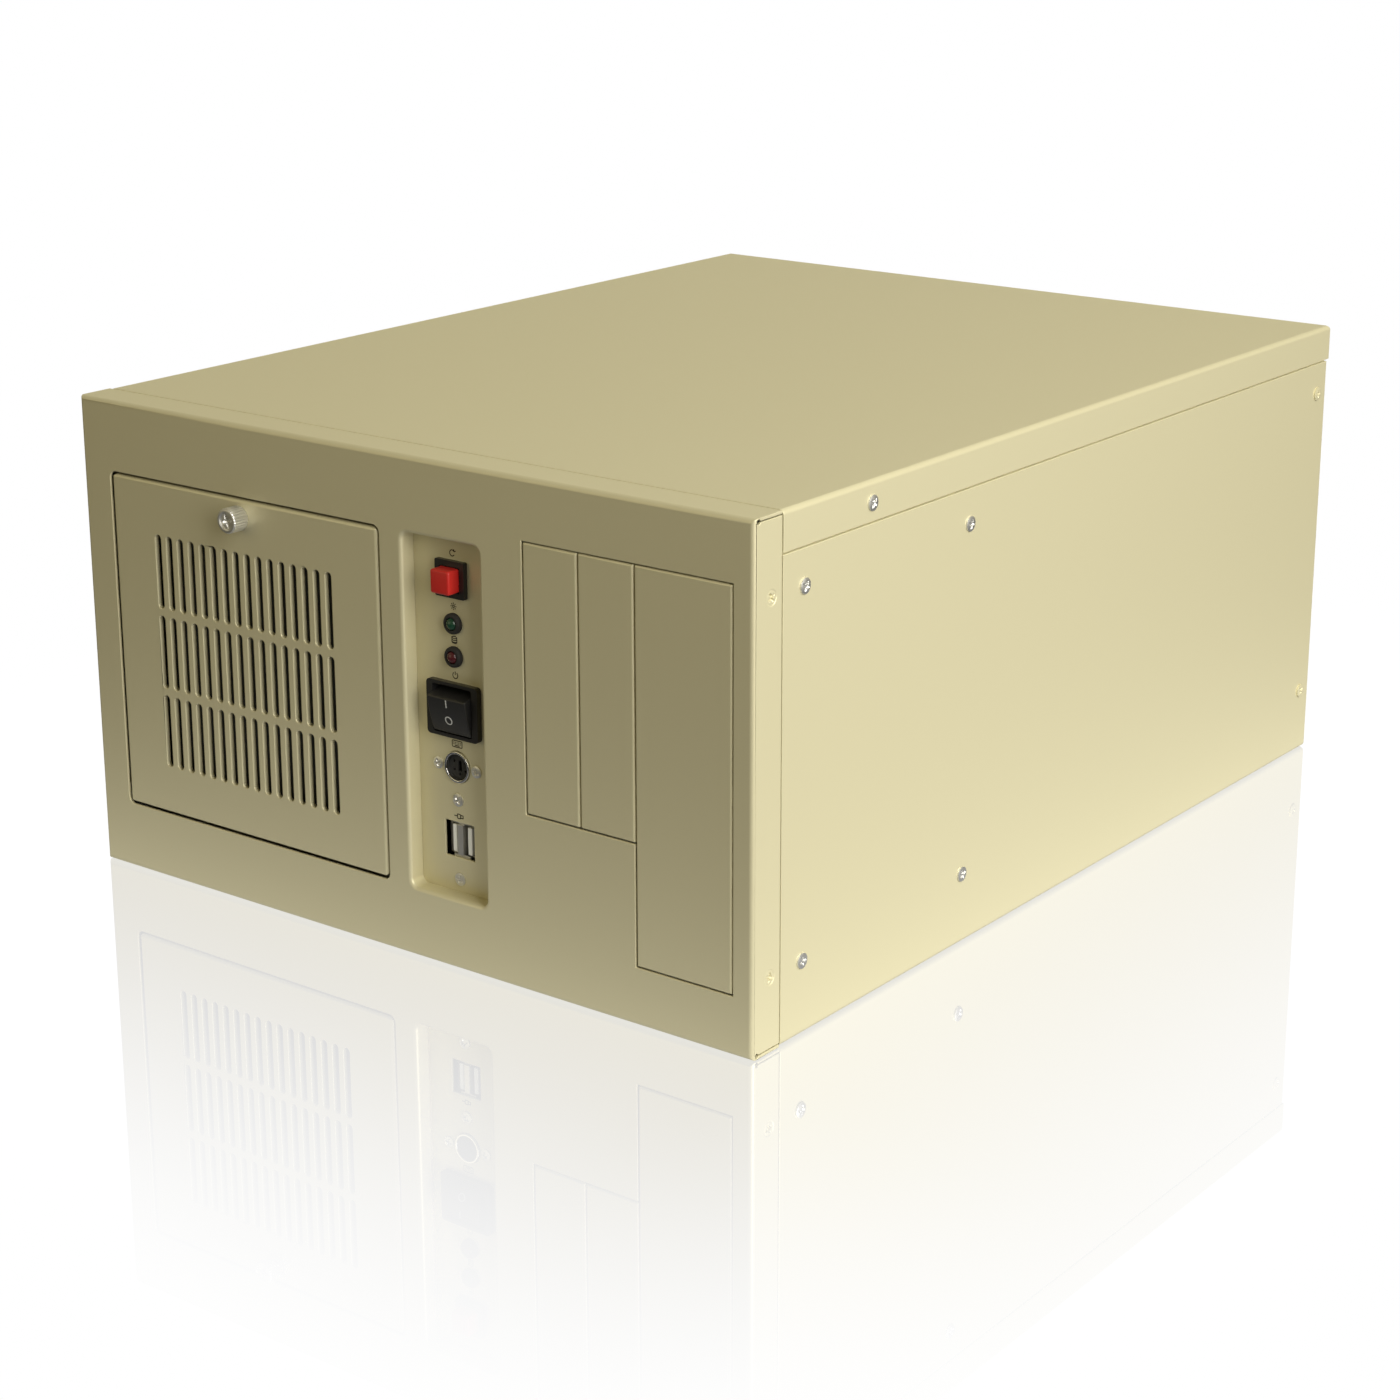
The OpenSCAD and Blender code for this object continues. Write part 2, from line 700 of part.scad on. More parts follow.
module filter_foam() color("#202020")
    block([door_cx - foam_half.x + 1.2, yf + recess_depth + 0.5, fan_cz - foam_half.y + 1.2],
        [door_cx + foam_half.x - 1.2, frame_y - 2.2, fan_cz + foam_half.y - 1.2]);

// ---------- fans ----------

// Square fan housing with its motor held by four arms at the back; z runs back from the front
module fan_housing(size, depth, bore, pitch, hole) {
    difference() {
        linear_extrude(depth) round_rect([-size / 2, -size / 2], [size / 2, size / 2], 4);
        translate([0, 0, -1]) cylinder(depth + 2, r = bore);
        for (x = [-1, 1], y = [-1, 1]) translate([x * pitch / 2, y * pitch / 2, -1])
            cylinder(depth + 2, r = hole);
    }
    difference() {
        union() {
            translate([0, 0, depth - motor_t]) cylinder(motor_t, r = hub_r);
            for (a = [45, 135]) rotate(a) translate([-bore - 0.5, -2, depth - motor_t])
                cube([2 * bore + 1, 4, motor_t]);
        }
        translate([0, 0, depth - motor_t - 1]) cylinder(motor_t + 2, r = 2 + run_gap);
    }
}

// Fan wheel: hub, tilted blades and shaft; z runs back
module fan_wheel(depth, hub, tip, blades) {
    cylinder(depth, r = hub);
    translate([0, 0, depth - eps]) cylinder(motor_t + 0.6, r = 2);
    intersection() {
        for (i = [0:blades - 1]) rotate(i * 360 / blades)
            rotate([blade_tilt, 0, 0]) translate([hub - 1.5, -depth, -blade_t / 2])
                cube([tip - hub + 4, 2 * depth, blade_t]);
        difference() {
            translate([0, 0, 1]) cylinder(depth - 2, r = tip);
            cylinder(depth, r = hub - 1);
        }
    }
}

module at_front_fan() {
    translate([door_cx, fan_y, fan_cz]) to_rear() children();
}
module front_fan_frame() color("#303030")
    at_front_fan() fan_housing(fan_size, fan_d, fan_bore - 0.5, fan_pitch, shank_r + hole_gap);
module front_fan_rotor() color("#282828")
    at_front_fan() translate([0, 0, 1])
        fan_wheel(fan_d - motor_t - 1.5, hub_r - 0.5, fan_bore - 1.6, fan_blades);
module front_fan_screws() color("silver")
    at_fan_screws() screw(head_r, screw_t, shank_r, 12);

// ---------- controls ----------

module control_panel() color("tan") {
    difference() {
        front(ctl_y, t) recess_outline(t);
        front(ctl_y - 1, t + 2) {
            translate([ctl_x - 11.1, power_z - 9.7]) square([22.2, 19.4]);
            translate([ctl_x - usb_w / 2, usb_z - usb_h / 2]) square([usb_w, usb_h]);
        }
        translate([ctl_x, ctl_y, reset_z]) to_rear() cylinder(4 * t, r = 6.1, center = true);
        for (z = [power_led_z, disk_led_z]) translate([ctl_x, ctl_y, z]) to_rear()
            cylinder(4 * t, r = lamp_r + 0.85, center = true);
        translate([ctl_x, ctl_y, socket_z]) to_rear()
            cylinder(4 * t, r = plug_r + 0.1, center = true);
        at_socket_screws() cylinder(4 * t, r = 1.2 + hole_gap, center = true);
        at_usb_screws() cylinder(4 * t, r = 1.2 + hole_gap, center = true);
    }
}
module at_socket_screws() {
    for (s = [-1, 1]) translate([ctl_x + s * plug_screw, ctl_y, socket_z]) to_front() children();
}
module at_usb_screws() {
    for (s = [-1, 1]) translate([ctl_x, ctl_y, usb_z + 0.25 + s * usb_screw_pitch / 2])
        to_front() children();
}

module reset_switch_body() color("#181818") {
    half = reset_bezel / 2;
    window = reset_cap / 2 + 0.3;
    difference() {
        union() {
            front(ctl_y - 2, 2)
                round_rect([ctl_x - half, reset_z - half], [ctl_x + half, reset_z + half], 0.6);
            translate([ctl_x, ctl_y - 1, reset_z]) to_rear() cylinder(18, r = 6);
        }
        front(ctl_y - 3, 3 + t + 0.4) translate([ctl_x - window, reset_z - window])
            square(2 * window);
        translate([ctl_x, ctl_y, reset_z]) to_rear() cylinder(12, r = 3.1);
    }
    for (s = [-1, 1]) block([ctl_x + s * 2.5 - 0.4, ctl_y + 17 - eps, reset_z - 1.2],
        [ctl_x + s * 2.5 + 0.4, ctl_y + 22, reset_z + 1.2]);
}

module reset_button() color("firebrick") {
    half = reset_cap / 2;
    soft_block([ctl_x - half, reset_z - half], [ctl_x + half, reset_z + half],
        ctl_y - 2 - reset_out, ctl_y - reset_travel - 0.2, 0.6);
    translate([ctl_x, ctl_y - reset_travel - 0.2 - eps, reset_z]) to_rear() cylinder(8, r = 3);
}

module at_lamps() {
    for (z = [power_led_z, disk_led_z]) translate([ctl_x, ctl_y, z]) to_front() children();
}
module lamp_holders() color("#181818")
    at_lamps() difference() {
        union() {
            cylinder(1.2, r = lamp_holder_r);
            translate([0, 0, 1.2]) cylinder(0.9, lamp_holder_r, lamp_r + 0.3);
            translate([0, 0, -6]) cylinder(6 + eps, r = lamp_r + 0.8);
        }
        translate([0, 0, -7]) cylinder(12, r = lamp_r + 0.02);
    }

// Lamp with a domed lens and two legs
module lamp(z) translate([ctl_x, ctl_y, z]) to_front() {
    translate([0, 0, -5]) cylinder(5.6, r = lamp_r);
    translate([0, 0, 0.6]) intersection() {
        sphere(lamp_r);
        cylinder(lamp_r + 1, r = lamp_r);
    }
    for (s = [-1, 1]) translate([s * 1.27 - 0.25, -0.25, -14]) cube([0.5, 0.5, 9 + eps]);
}
module power_lamp() color("#0c2a18") lamp(power_led_z);
module disk_lamp() color("#3a0d12") lamp(disk_led_z);

// Rocker switch: housing with a window, and its rocker on two stub pins
module rocker_housing(bezel, body, window, cavity_r, w, px, blades) {
    difference() {
        union() {
            front(-bezel.z, bezel.z)
                round_rect([-bezel.x / 2, -bezel.y / 2], [bezel.x / 2, bezel.y / 2], 1.6);
            block([-body.x / 2, -eps, -body.y / 2], [body.x / 2, body.z, body.y / 2]);
        }
        front(-bezel.z - 1, bezel.z + 1 + eps)
            round_rect([-window.x / 2, -window.y / 2], [window.x / 2, window.y / 2], 0.8);
        block([-window.x / 2, 0, -window.y / 2], [window.x / 2, px + cavity_r * 0.4, window.y / 2]);
        translate([-w / 2 - 1 - run_gap, px, 0]) to_side(1)
            cylinder(w + 2 + 2 * run_gap, r = 1.5 + run_gap);
    }
    for (x = blades) block([x - 0.4, body.z - eps, -2.4], [x + 0.4, body.z + 8, 2.4]);
}

// Rocker's side outline about its pivot, pressed at the bottom; u runs forward
module rocker_outline(r, tilt) {
    intersection() {
        circle(r);
        rotate(-tilt) translate([0.754 * r - 4.8 * r, 0]) circle(4.8 * r);
        rotate(-tilt) translate([-0.1 * r, -0.712 * r]) square([1.1 * r, 1.424 * r]);
    }
}
module rocker(r, w, tilt) {
    translate([-w / 2, 0, 0]) side(0, w) mirror([1, 0]) rocker_outline(r, tilt);
    translate([-w / 2 - 1, 0, 0]) to_side(1) cylinder(w + 2, r = 1.5);
}

module power_switch_body() color("#141414")
    translate([ctl_x, ctl_y, power_z])
        rocker_housing(rocker_bezel, rocker_body, rocker_window, rocker_r, rocker_w,
            rocker_y - ctl_y, [-7, 7]);
module power_rocker() color("#1c1c1c")
    translate([ctl_x, rocker_y, power_z]) rocker(rocker_r - 0.1, rocker_w, rocker_swing / 2);

module keyboard_socket_shell() color("gainsboro")
    translate([ctl_x, ctl_y, socket_z]) {
        to_rear() translate([0, 0, -0.8]) difference() {
            cylinder(12, r = plug_r);
            translate([0, 0, -1]) cylinder(14, r = plug_r - 1);
        }
        difference() {
            block([-plug_screw - 3, t, -6.5], [plug_screw + 3, t + 1, 6.5]);
            to_rear() cylinder(9, r = plug_r - 0.5);
            for (s = [-1, 1]) translate([s * plug_screw, 0, 0]) to_rear()
                cylinder(9, r = 1.2 + hole_gap);
        }
    }
module keyboard_socket_insert() color("#101010")
    translate([ctl_x, ctl_y + 1.2, socket_z]) to_rear() difference() {
        cylinder(10, r = plug_r - 1);
        for (a = [30, 90, 150, 210, 330]) rotate(a) translate([3.2, 0, -1])
            cylinder(8, r = 0.55, $fn = 16);
        translate([-0.8, -2.1, -1]) cube([1.6, 4.2, 7]);
    }
module keyboard_socket_screws() color("silver")
    at_socket_screws() screw(2.3, 0.8, 1.2, 5);

module at_usb_ports() {
    for (s = [-1, 1]) translate([ctl_x + s * usb_port_x, 0, usb_z]) children();
}
module usb_shell() color("lightgray") {
    difference() {
        union() {
            block([ctl_x - usb_w / 2 + 0.1, ctl_y + usb_rim_in, usb_z - usb_h / 2 + 0.1],
                [ctl_x + usb_w / 2 - 0.1, ctl_y + 17, usb_z + usb_h / 2 - 0.1]);
            block([ctl_x - usb_port_x, ctl_y + 0.4, usb_z - usb_port_h / 2 + 0.3],
                [ctl_x + usb_port_x, ctl_y + usb_rim_in + eps, usb_z + usb_port_h / 2 - 0.3]);
            block([ctl_x - 4, ctl_back, usb_z - usb_screw_pitch / 2 - 3],
                [ctl_x + 4, ctl_back + 1, usb_z + usb_screw_pitch / 2 + 3.5]);
        }
        at_usb_ports() block([-usb_port_w / 2, ctl_y - 1, -usb_port_h / 2],
            [usb_port_w / 2, ctl_y + 15, usb_port_h / 2]);
        at_usb_screws() cylinder(6 * t, r = 1.2 + hole_gap, center = true);
    }
}
module usb_tongues() color("whitesmoke")
    at_usb_ports() block([-0.6, ctl_y + 1.2, -5.4], [1.4, ctl_y + 15, 5.4]);
module usb_screws() color("silver")
    at_usb_screws() screw(2.5, 0.8, 1.2, 5);

// ---------- drive bays ----------

// Cover of one bay: shallow pan with a fixing tab at its upper end
module bay_cover(x0, w, z0, h) {
    pan([x0, z0], [x0 + w, z0 + h], yf, bay_fold, door_bend * 0.6);
    difference() {
        block([x0 + 4, yf + bay_fold - eps, z0 + h - t], [x0 + w - 4, tab_y1, z0 + h]);
        at_cover_tab_screws() cylinder(20, r = shank_r + hole_gap, center = true);
    }
}
module narrow_bay_cover_a() color("tan") bay_cover(narrow_a, narrow_w, narrow_z0, narrow_h);
module narrow_bay_cover_b() color("tan") bay_cover(narrow_b, narrow_w, narrow_z0, narrow_h);
module wide_bay_cover() color("tan") bay_cover(bay_x0, wide_w, bay_z0, wide_h);

module drive_cage() color("silver") {
    left = min(narrow_a, divider_x - 2 * drive_w) - cage_gap;
    y1 = cage_y + cage_d;
    shelf = narrow_z0 - cage_gap;
    floor_z = bay_z0 - cage_gap;
    difference() {
        union() {
            block([left - cage_t, cage_y, cage_top], [x_in, y1, cage_top + cage_t]);
            block([x_in - cage_t, cage_y, floor_z - cage_t], [x_in, y1, cage_top + cage_t]);
            block([divider_x, cage_y, floor_z - cage_t], [x_in, y1, floor_z]);
            block([divider_x, cage_y, t], [divider_x + cage_t, y1, cage_top + cage_t]);
            block([left - cage_t, cage_y, shelf - cage_t], [divider_x + cage_t, y1, shelf]);
            block([left - cage_t, cage_y, shelf - cage_t], [left, y1, cage_top + cage_t]);
            block([divider_x - 12, cage_y, t], [divider_x + cage_t, y1, t + cage_t]);
        }
        at_side_screws() cylinder(8 * t, r = shank_r + hole_gap, center = true);
        at_cage_screws() cylinder(8, r = shank_r + hole_gap, center = true);
        at_cover_tab_screws() cylinder(8, r = shank_r + hole_gap, center = true);
    }
}

module hard_drive() color("#9a9da0") {
    x1 = drive_x1;
    difference() {
        union() {
            soft_block([x1 - drive_w + 0.3, narrow_z0], [x1, narrow_z0 + narrow_h],
                drive_y0, drive_y0 + drive_l, 2);
            translate([x1 - eps, drive_y0 + 93, narrow_z0 + narrow_h / 2]) to_side(1)
                cylinder(0.1 + eps, r = 30);
        }
        at_cage_screws() cylinder(20, r = shank_r, center = true);
    }
    block([x1 - 20, drive_y0 + drive_l - eps, narrow_z0 + 20],
        [x1 - 10, drive_y1, narrow_z0 + 70]);
}

module drive_screws() color("silver") {
    for (y = [cage_y + 14, cage_y + 94]) translate([narrow_a + narrow_w / 2, y, cage_top + cage_t])
        screw(head_r, screw_t, shank_r, 5);
    at_cover_tab_screws() screw(head_r, screw_t, shank_r, 5);
}

// ---------- cards ----------

module backplane() color("darkgreen")
    difference() {
        block([board_x0, board_y0, board_z], [board_x1, slot_y - 16, board_z + board_t]);
        for (p = spacer_at) translate([p.x, p.y, 0]) cylinder(60, r = shank_r + hole_gap);
    }
module backplane_spacers() color("goldenrod")
    for (p = spacer_at) translate([p.x, p.y, t]) {
        cylinder(board_z - t, r = 3);
        translate([0, 0, board_z - t - eps]) cylinder(board_t + eps, r = shank_r);
        translate([0, 0, board_z - t + board_t]) cylinder(1.6, r = head_r);
    }
module backplane_sockets() color("#1a1a1a") {
    block([power_block[0], board_y0 + 14, board_z + board_t],
        [power_block[1], board_y0 + 54, board_z + board_t + 11]);
    difference() {
        at_slots() block([card_off - 4, board_y0 + 16, board_z + board_t],
            [card_off + 4, slot_y - 36, board_z + board_t + socket_h]);
        at_slots() block([card_off - 1, board_y0 + 17, card_z0 - 0.1],
            [card_off + 1, slot_y - 37, board_z + board_t + socket_h + 1]);
    }
}

// Card on edge in slot i: edge connector low, board above the sockets
module card(i, len, top) {
    x = slot_x0 + i * slot_pitch + card_off;
    block([x - board_t / 2, board_y0 + 18, card_z0], [x + board_t / 2, slot_y - 38, card_z0 + 8]);
    block([x - board_t / 2, slot_y - len, card_z0 + 8 - eps], [x + board_t / 2, slot_y - 2, top]);
}
module cpu_card() color("#1c5a34") card(cpu_slot, card_len - 8, shelf_z - 2);
module io_card() color("#1c5a34") {
    x = slot_x0 + io_slot * slot_pitch + card_off;
    card(io_slot, 140, shelf_z - 12);
    for (k = [0:2]) block([x - board_t / 2 - 2, slot_y - 60 - 26 * k, card_z0 + 35],
        [x - board_t / 2 + eps, slot_y - 44 - 26 * k, card_z0 + 51]);
}

module cpu_heatsink() color("gainsboro") {
    block([cpu_x - sink_base, sink_y - sink_half, sink_z - sink_half],
        [cpu_x, sink_y + sink_half, sink_z + sink_half]);
    for (k = [0:sink_fins - 1]) translate([cpu_x, sink_y - sink_half + k * fin_pitch, sink_z])
        block([-sink_out, 0, -sink_half], [eps - sink_base, 1, sink_half]);
}
module memory_module() color("#1c5a34") {
    block([cpu_x - 6, slot_y - 66, sink_z + 22], [cpu_x, slot_y - 12, sink_z + 28]);
    block([cpu_x - 26, slot_y - 64, sink_z + 24.4], [cpu_x - 6 + eps, slot_y - 14, sink_z + 25.6]);
}

// Slot bracket: upright strip behind the slot, with its top tab on the card shelf
module bracket(filled) {
    difference() {
        union() {
            block([-bracket_w / 2, slot_y - bracket_t, 4],
                [bracket_w / 2, slot_y, shelf_z + bracket_t]);
            block([-bracket_w / 2, slot_y - bracket_t, shelf_z],
                [bracket_w / 2, slot_y + 11, shelf_z + bracket_t]);
        }
        translate([0, slot_screw_y, shelf_z]) cylinder(8, r = shank_r + hole_gap, center = true);
        if (filled) block([-4, slot_y - 2, 40], [4, slot_y + 1, 70]);
    }
    // block that joins a card to its bracket
    if (filled) block([card_off - 5, slot_y - 9, 88],
        [card_off - board_t / 2, slot_y - bracket_t + eps, 96]);
}
module card_brackets() color("silver")
    for (i = [io_slot, cpu_slot]) translate([slot_x0 + i * slot_pitch, 0, 0]) bracket(true);
module slot_covers() color("silver")
    for (i = [0:slot_count - 1]) if (i != io_slot && i != cpu_slot)
        translate([slot_x0 + i * slot_pitch, 0, 0]) bracket(false);
module at_slot_screws() {
    at_slots() translate([0, slot_screw_y, shelf_z + bracket_t]) children();
}
module slot_screws() color("silver")
    at_slot_screws() screw(head_r, screw_t, shank_r, 5);

// Bar across the case above the cards, hung under the walls' inward folds
module hold_down_bar() color("silver") {
    top = z_top - t;
    difference() {
        block([-x_step + t + 0.2, bar_y - bar_half, top - bar_h],
            [x_step - t - 0.2, bar_y + bar_half, top]);
        block([-case_w, bar_y - bar_half + t, top - bar_h - 2], [case_w, bar_y + bar_half - t, top - t]);
    }
    // fingers that hold the two cards down
    for (i = [io_slot, cpu_slot])
        block([slot_x0 + i * slot_pitch + card_off - 3, bar_y - 4,
                (i == cpu_slot ? shelf_z - 2 : shelf_z - 12) + 0.1],
            [slot_x0 + i * slot_pitch + card_off + 3, bar_y + 4, top - t + eps]);
}

// ---------- power supply ----------

module psu_case() color("silver") {
    difference() {
        block([psu_x0, psu_y0, psu_z0], [psu_x1, psu_y1, psu_z0 + psu_h]);
        block([psu_x0 + psu_t, psu_y0 + psu_t, psu_z0 + psu_t],
            [psu_x1 - psu_t, psu_y1 - psu_t, psu_z0 + psu_h - psu_t]);
        translate([psu_cx, psu_y1, psu_fan_z]) to_rear()
            cylinder(8, r = psu_fan_r, center = true);
        block([psu_cx - inlet_dx - 14.1, psu_y1 - 4, inlet_z - 10.1],
            [psu_cx - inlet_dx + 14.1, psu_y1 + 1, inlet_z + 10.1]);
        block([psu_cx + psu_switch_dx - 6.6, psu_y1 - 4, inlet_z - 9.6],
            [psu_cx + psu_switch_dx + 6.6, psu_y1 + 1, inlet_z + 9.6]);
        at_psu_screws() cylinder(20, r = shank_r, center = true);
        for (i = [0:7], k = [0, 1]) front(psu_y0 - 1, 4)
            translate([psu_x0 + 14 + i * 8, psu_z0 + 70 + k * 36])
                round_rect([0, 0], [vent_w, vent_len], vent_w / 2 - eps);
        translate([psu_cx - 20, psu_y0, psu_z0 + 20]) to_rear()
            cylinder(6, r = 8.2, center = true);
    }
}
module psu_inlet() color("#141414")
    translate([psu_cx - inlet_dx, psu_y1, inlet_z]) {
        difference() {
            union() {
                block([-14, -16, -10], [14, eps, 10]);
                front(0, 1.6) round_rect([-15.6, -11.6], [15.6, 11.6], 2);
            }
            block([-12.2, -14, -8], [12.2, 4, 8]);
        }
        for (p = [[-7, -2.5], [7, -2.5], [0, 3.5]])
            block([p.x - 1, -14 - eps, p.y - 2], [p.x + 1, 0.5, p.y + 2]);
    }
module psu_switch_body() color("#141414")
    translate([psu_cx + psu_switch_dx, psu_y1, inlet_z]) rotate(180)
        rocker_housing([15.6, 21, 1.6], [13, 19, 14], [11, 16.4], psu_rocker_r + 0.5, psu_rocker_w,
            psu_rocker_in, [0]);
module psu_rocker() color("#1c1c1c")
    translate([psu_cx + psu_switch_dx, psu_y1 - psu_rocker_in, inlet_z]) rotate(180)
        rocker(psu_rocker_r - 0.1, psu_rocker_w, psu_rocker_tilt);
module psu_screws() color("silver")
    at_psu_screws() screw(head_r, 1.6, shank_r, 5);
module psu_fan_guard() color("lightgray")
    translate([psu_cx, y_rear + 0.05, psu_fan_z]) to_rear() {
        for (r = guard_rings) rotate_extrude() translate([r, guard_wire])
            circle(guard_wire, $fn = 16);
        for (a = [45, 135]) rotate(a) translate([-42, -guard_wire, guard_wire / 2])
            cube([84, 2 * guard_wire, guard_wire]);
    }
module at_psu_fan() {
    translate([psu_cx, psu_y1 - psu_t - 1, psu_fan_z]) to_front() children();
}
module psu_fan_rotor() color("#282828")
    at_psu_fan() fan_wheel(18, 14, psu_fan_r - 1, fan_blades);

// ---------- cables held inside ----------

function unit(v) = v / norm(v);

// Point at u (0 to 1) between b and c on the smooth curve through a, b, c and d
function between(a, b, c, d, u) = 0.5 * (2 * b + (c - a) * u + (2 * a - 5 * b + 4 * c - d) * u ^ 2
    + (3 * b - a - 3 * c + d) * u ^ 3);
function smooth(p, steps) =
    let (q = concat([2 * p[0] - p[1]], p, [2 * p[len(p) - 1] - p[len(p) - 2]]))
    concat([for (i = [1:len(q) - 3], k = [0:steps - 1])
        between(q[i - 1], q[i], q[i + 1], q[i + 2], k / steps)], [p[len(p) - 1]]);

// Round sleeve of radius r along a smooth curve through the points
module loom(points, r, sides = 8) {
    path = smooth(points, 4);
    n = len(path);
    rings = [for (i = [0:n - 1])
        let (d = unit(path[min(i + 1, n - 1)] - path[max(i - 1, 0)]),
            u = unit(cross(d, [0, 0, 1])), v = cross(u, d))
        for (k = [0:sides - 1])
            path[i] + r * (cos(k * 360 / sides) * u + sin(k * 360 / sides) * v)];
    polyhedron(rings, concat([[for (k = [0:sides - 1]) k]],
        [for (i = [0:n - 2], k = [0:sides - 1]) let (m = (k + 1) % sides)
            [i * sides + m, i * sides + k, (i + 1) * sides + k, (i + 1) * sides + m]],
        [[for (k = [sides - 1:-1:0]) (n - 1) * sides + k]]));
}

module internal_cables() color("#262626") {
    loom([[ctl_x, ctl_back + 28, power_z], [ctl_x, ctl_back + 46, power_z - 6],
        [ctl_x - 14, board_y0 - 110, 78], [ctl_x - 30, board_y0 - 30, 58],
        [card_face + 22, board_y0 + 6, 52], [card_face + 10, board_y0 + 8, 50],
        [card_face, board_y0 + 8, 50]], cable_r);
    loom([[psu_cx - 20, psu_y0 + 6, psu_z0 + 20], [psu_cx - 20, psu_y0 - 12, psu_z0 + 20],
        [psu_cx - 44, psu_y0 - 34, psu_z0 + 22], [power_block[1] + 24, board_y0 + 26, 20],
        [power_block[1] + 8, board_y0 + 34, 17], [power_block[1] + 0.6, board_y0 + 34, 17]],
        power_cable_r);
    loom([[drive_x1 - 15, drive_y1 + 1, narrow_z0 + 45],
        [drive_x1 - 15, drive_y1 + 14, narrow_z0 + 43], [drive_x1 - 50, drive_y1 + 44, 90],
        [card_face + 20, board_y0 + 30, 74], [card_face + 8, board_y0 + 40, 72],
        [card_face, board_y0 + 40, 72]], cable_r);
}

// ---------- top cover ----------

module top_cover() color("wheat") {
    difference() {
        union() {
            difference() {
                translate([0, case_d / 2, 0]) rotate([90, 0, 0])
                    linear_extrude(case_d / 2 - y_seam - seam_gap) mirror([0, 1])
                    translate([0, -case_h]) round_low([-x_wall, 0], [x_wall, lip_h], bend_r);
                translate([0, case_d / 2 + 1, 0]) rotate([90, 0, 0])
                    linear_extrude(case_d) mirror([0, 1])
                    translate([0, -case_h]) round_low([-x_in, t], [x_in, lip_h + 1], bend_r - t);
            }
            // rear lip, with a slit at each corner
            block([-x_in + slit_w, case_d / 2 - t, z_lip],
                [x_in - slit_w, case_d / 2, case_h - t + eps]);
        }
        // round the upper rear edge and the lips' lower corners
        translate([0, case_d / 2 - bend_r, case_h - bend_r]) side(-case_w, 2 * case_w)
            difference() {
                square(2 * bend_r);
                circle(bend_r);
            }
        at_lid_side_screws() cylinder(4 * t, r = shank_r + hole_gap, center = true);
        at_lid_rear_screws() cylinder(4 * t, r = shank_r + hole_gap, center = true);
    }
}
module lid_screws() color("silver") {
    at_lid_side_screws() screw(head_r, head_h, shank_r, 6);
    at_lid_rear_screws() screw(head_r, head_h, shank_r, 7.5);
}
module lid_nut() {
    difference() {
        cylinder(2, r = 4.6, $fn = 6);
        cylinder(9, r = shank_r, center = true);
    }
}
module lid_nuts() color("silver") {
    at_lid_side_screws() translate([0, 0, -2 * t - seam_gap - 2.2]) lid_nut();
    at_lid_rear_screws() translate([0, 0, -rear_overhang - t - 2.2]) lid_nut();
}

chassis_tray();
front_frame();
front_cover();
rear_panel();
front_cover_screws();
side_screws();
rear_panel_screws();
hinge_brackets();
door_hinge_pins();
door_standoff();
filter_tray();
filter_foam();
front_fan_frame();
front_fan_screws();
control_panel();
reset_switch_body();
lamp_holders();
power_lamp();
disk_lamp();
power_switch_body();
keyboard_socket_shell();
keyboard_socket_insert();
keyboard_socket_screws();
usb_shell();
usb_tongues();
usb_screws();
narrow_bay_cover_a();
narrow_bay_cover_b();
wide_bay_cover();
drive_cage();
hard_drive();
drive_screws();
backplane();
backplane_sockets();
backplane_spacers();
cpu_card();
cpu_heatsink();
memory_module();
io_card();
card_brackets();
slot_covers();
slot_screws();
hold_down_bar();
psu_case();
psu_inlet();
psu_switch_body();
psu_screws();
psu_fan_guard();
internal_cables();
top_cover();
lid_screws();
lid_nuts();
filter_door();
thumb_screw();
thumb_screw_clip();
front_fan_rotor();
reset_button();
power_rocker();
psu_fan_rotor();
psu_rocker();
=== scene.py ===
"""Finished pieces of an industrial desktop computer case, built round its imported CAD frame.

Metres, origin at the centre of the base, front towards -Y, +Z up. Sheet parts are copies of the
CAD nodes with rounded edges; knobs, screws, switches, sockets, fans, boards and cables are
surfaces worked out on grids.
"""
import json
import math

import bmesh
import bpy
import numpy as np
from bpy.props import FloatProperty, FloatVectorProperty, IntProperty, PointerProperty
from mathutils import Matrix, Vector

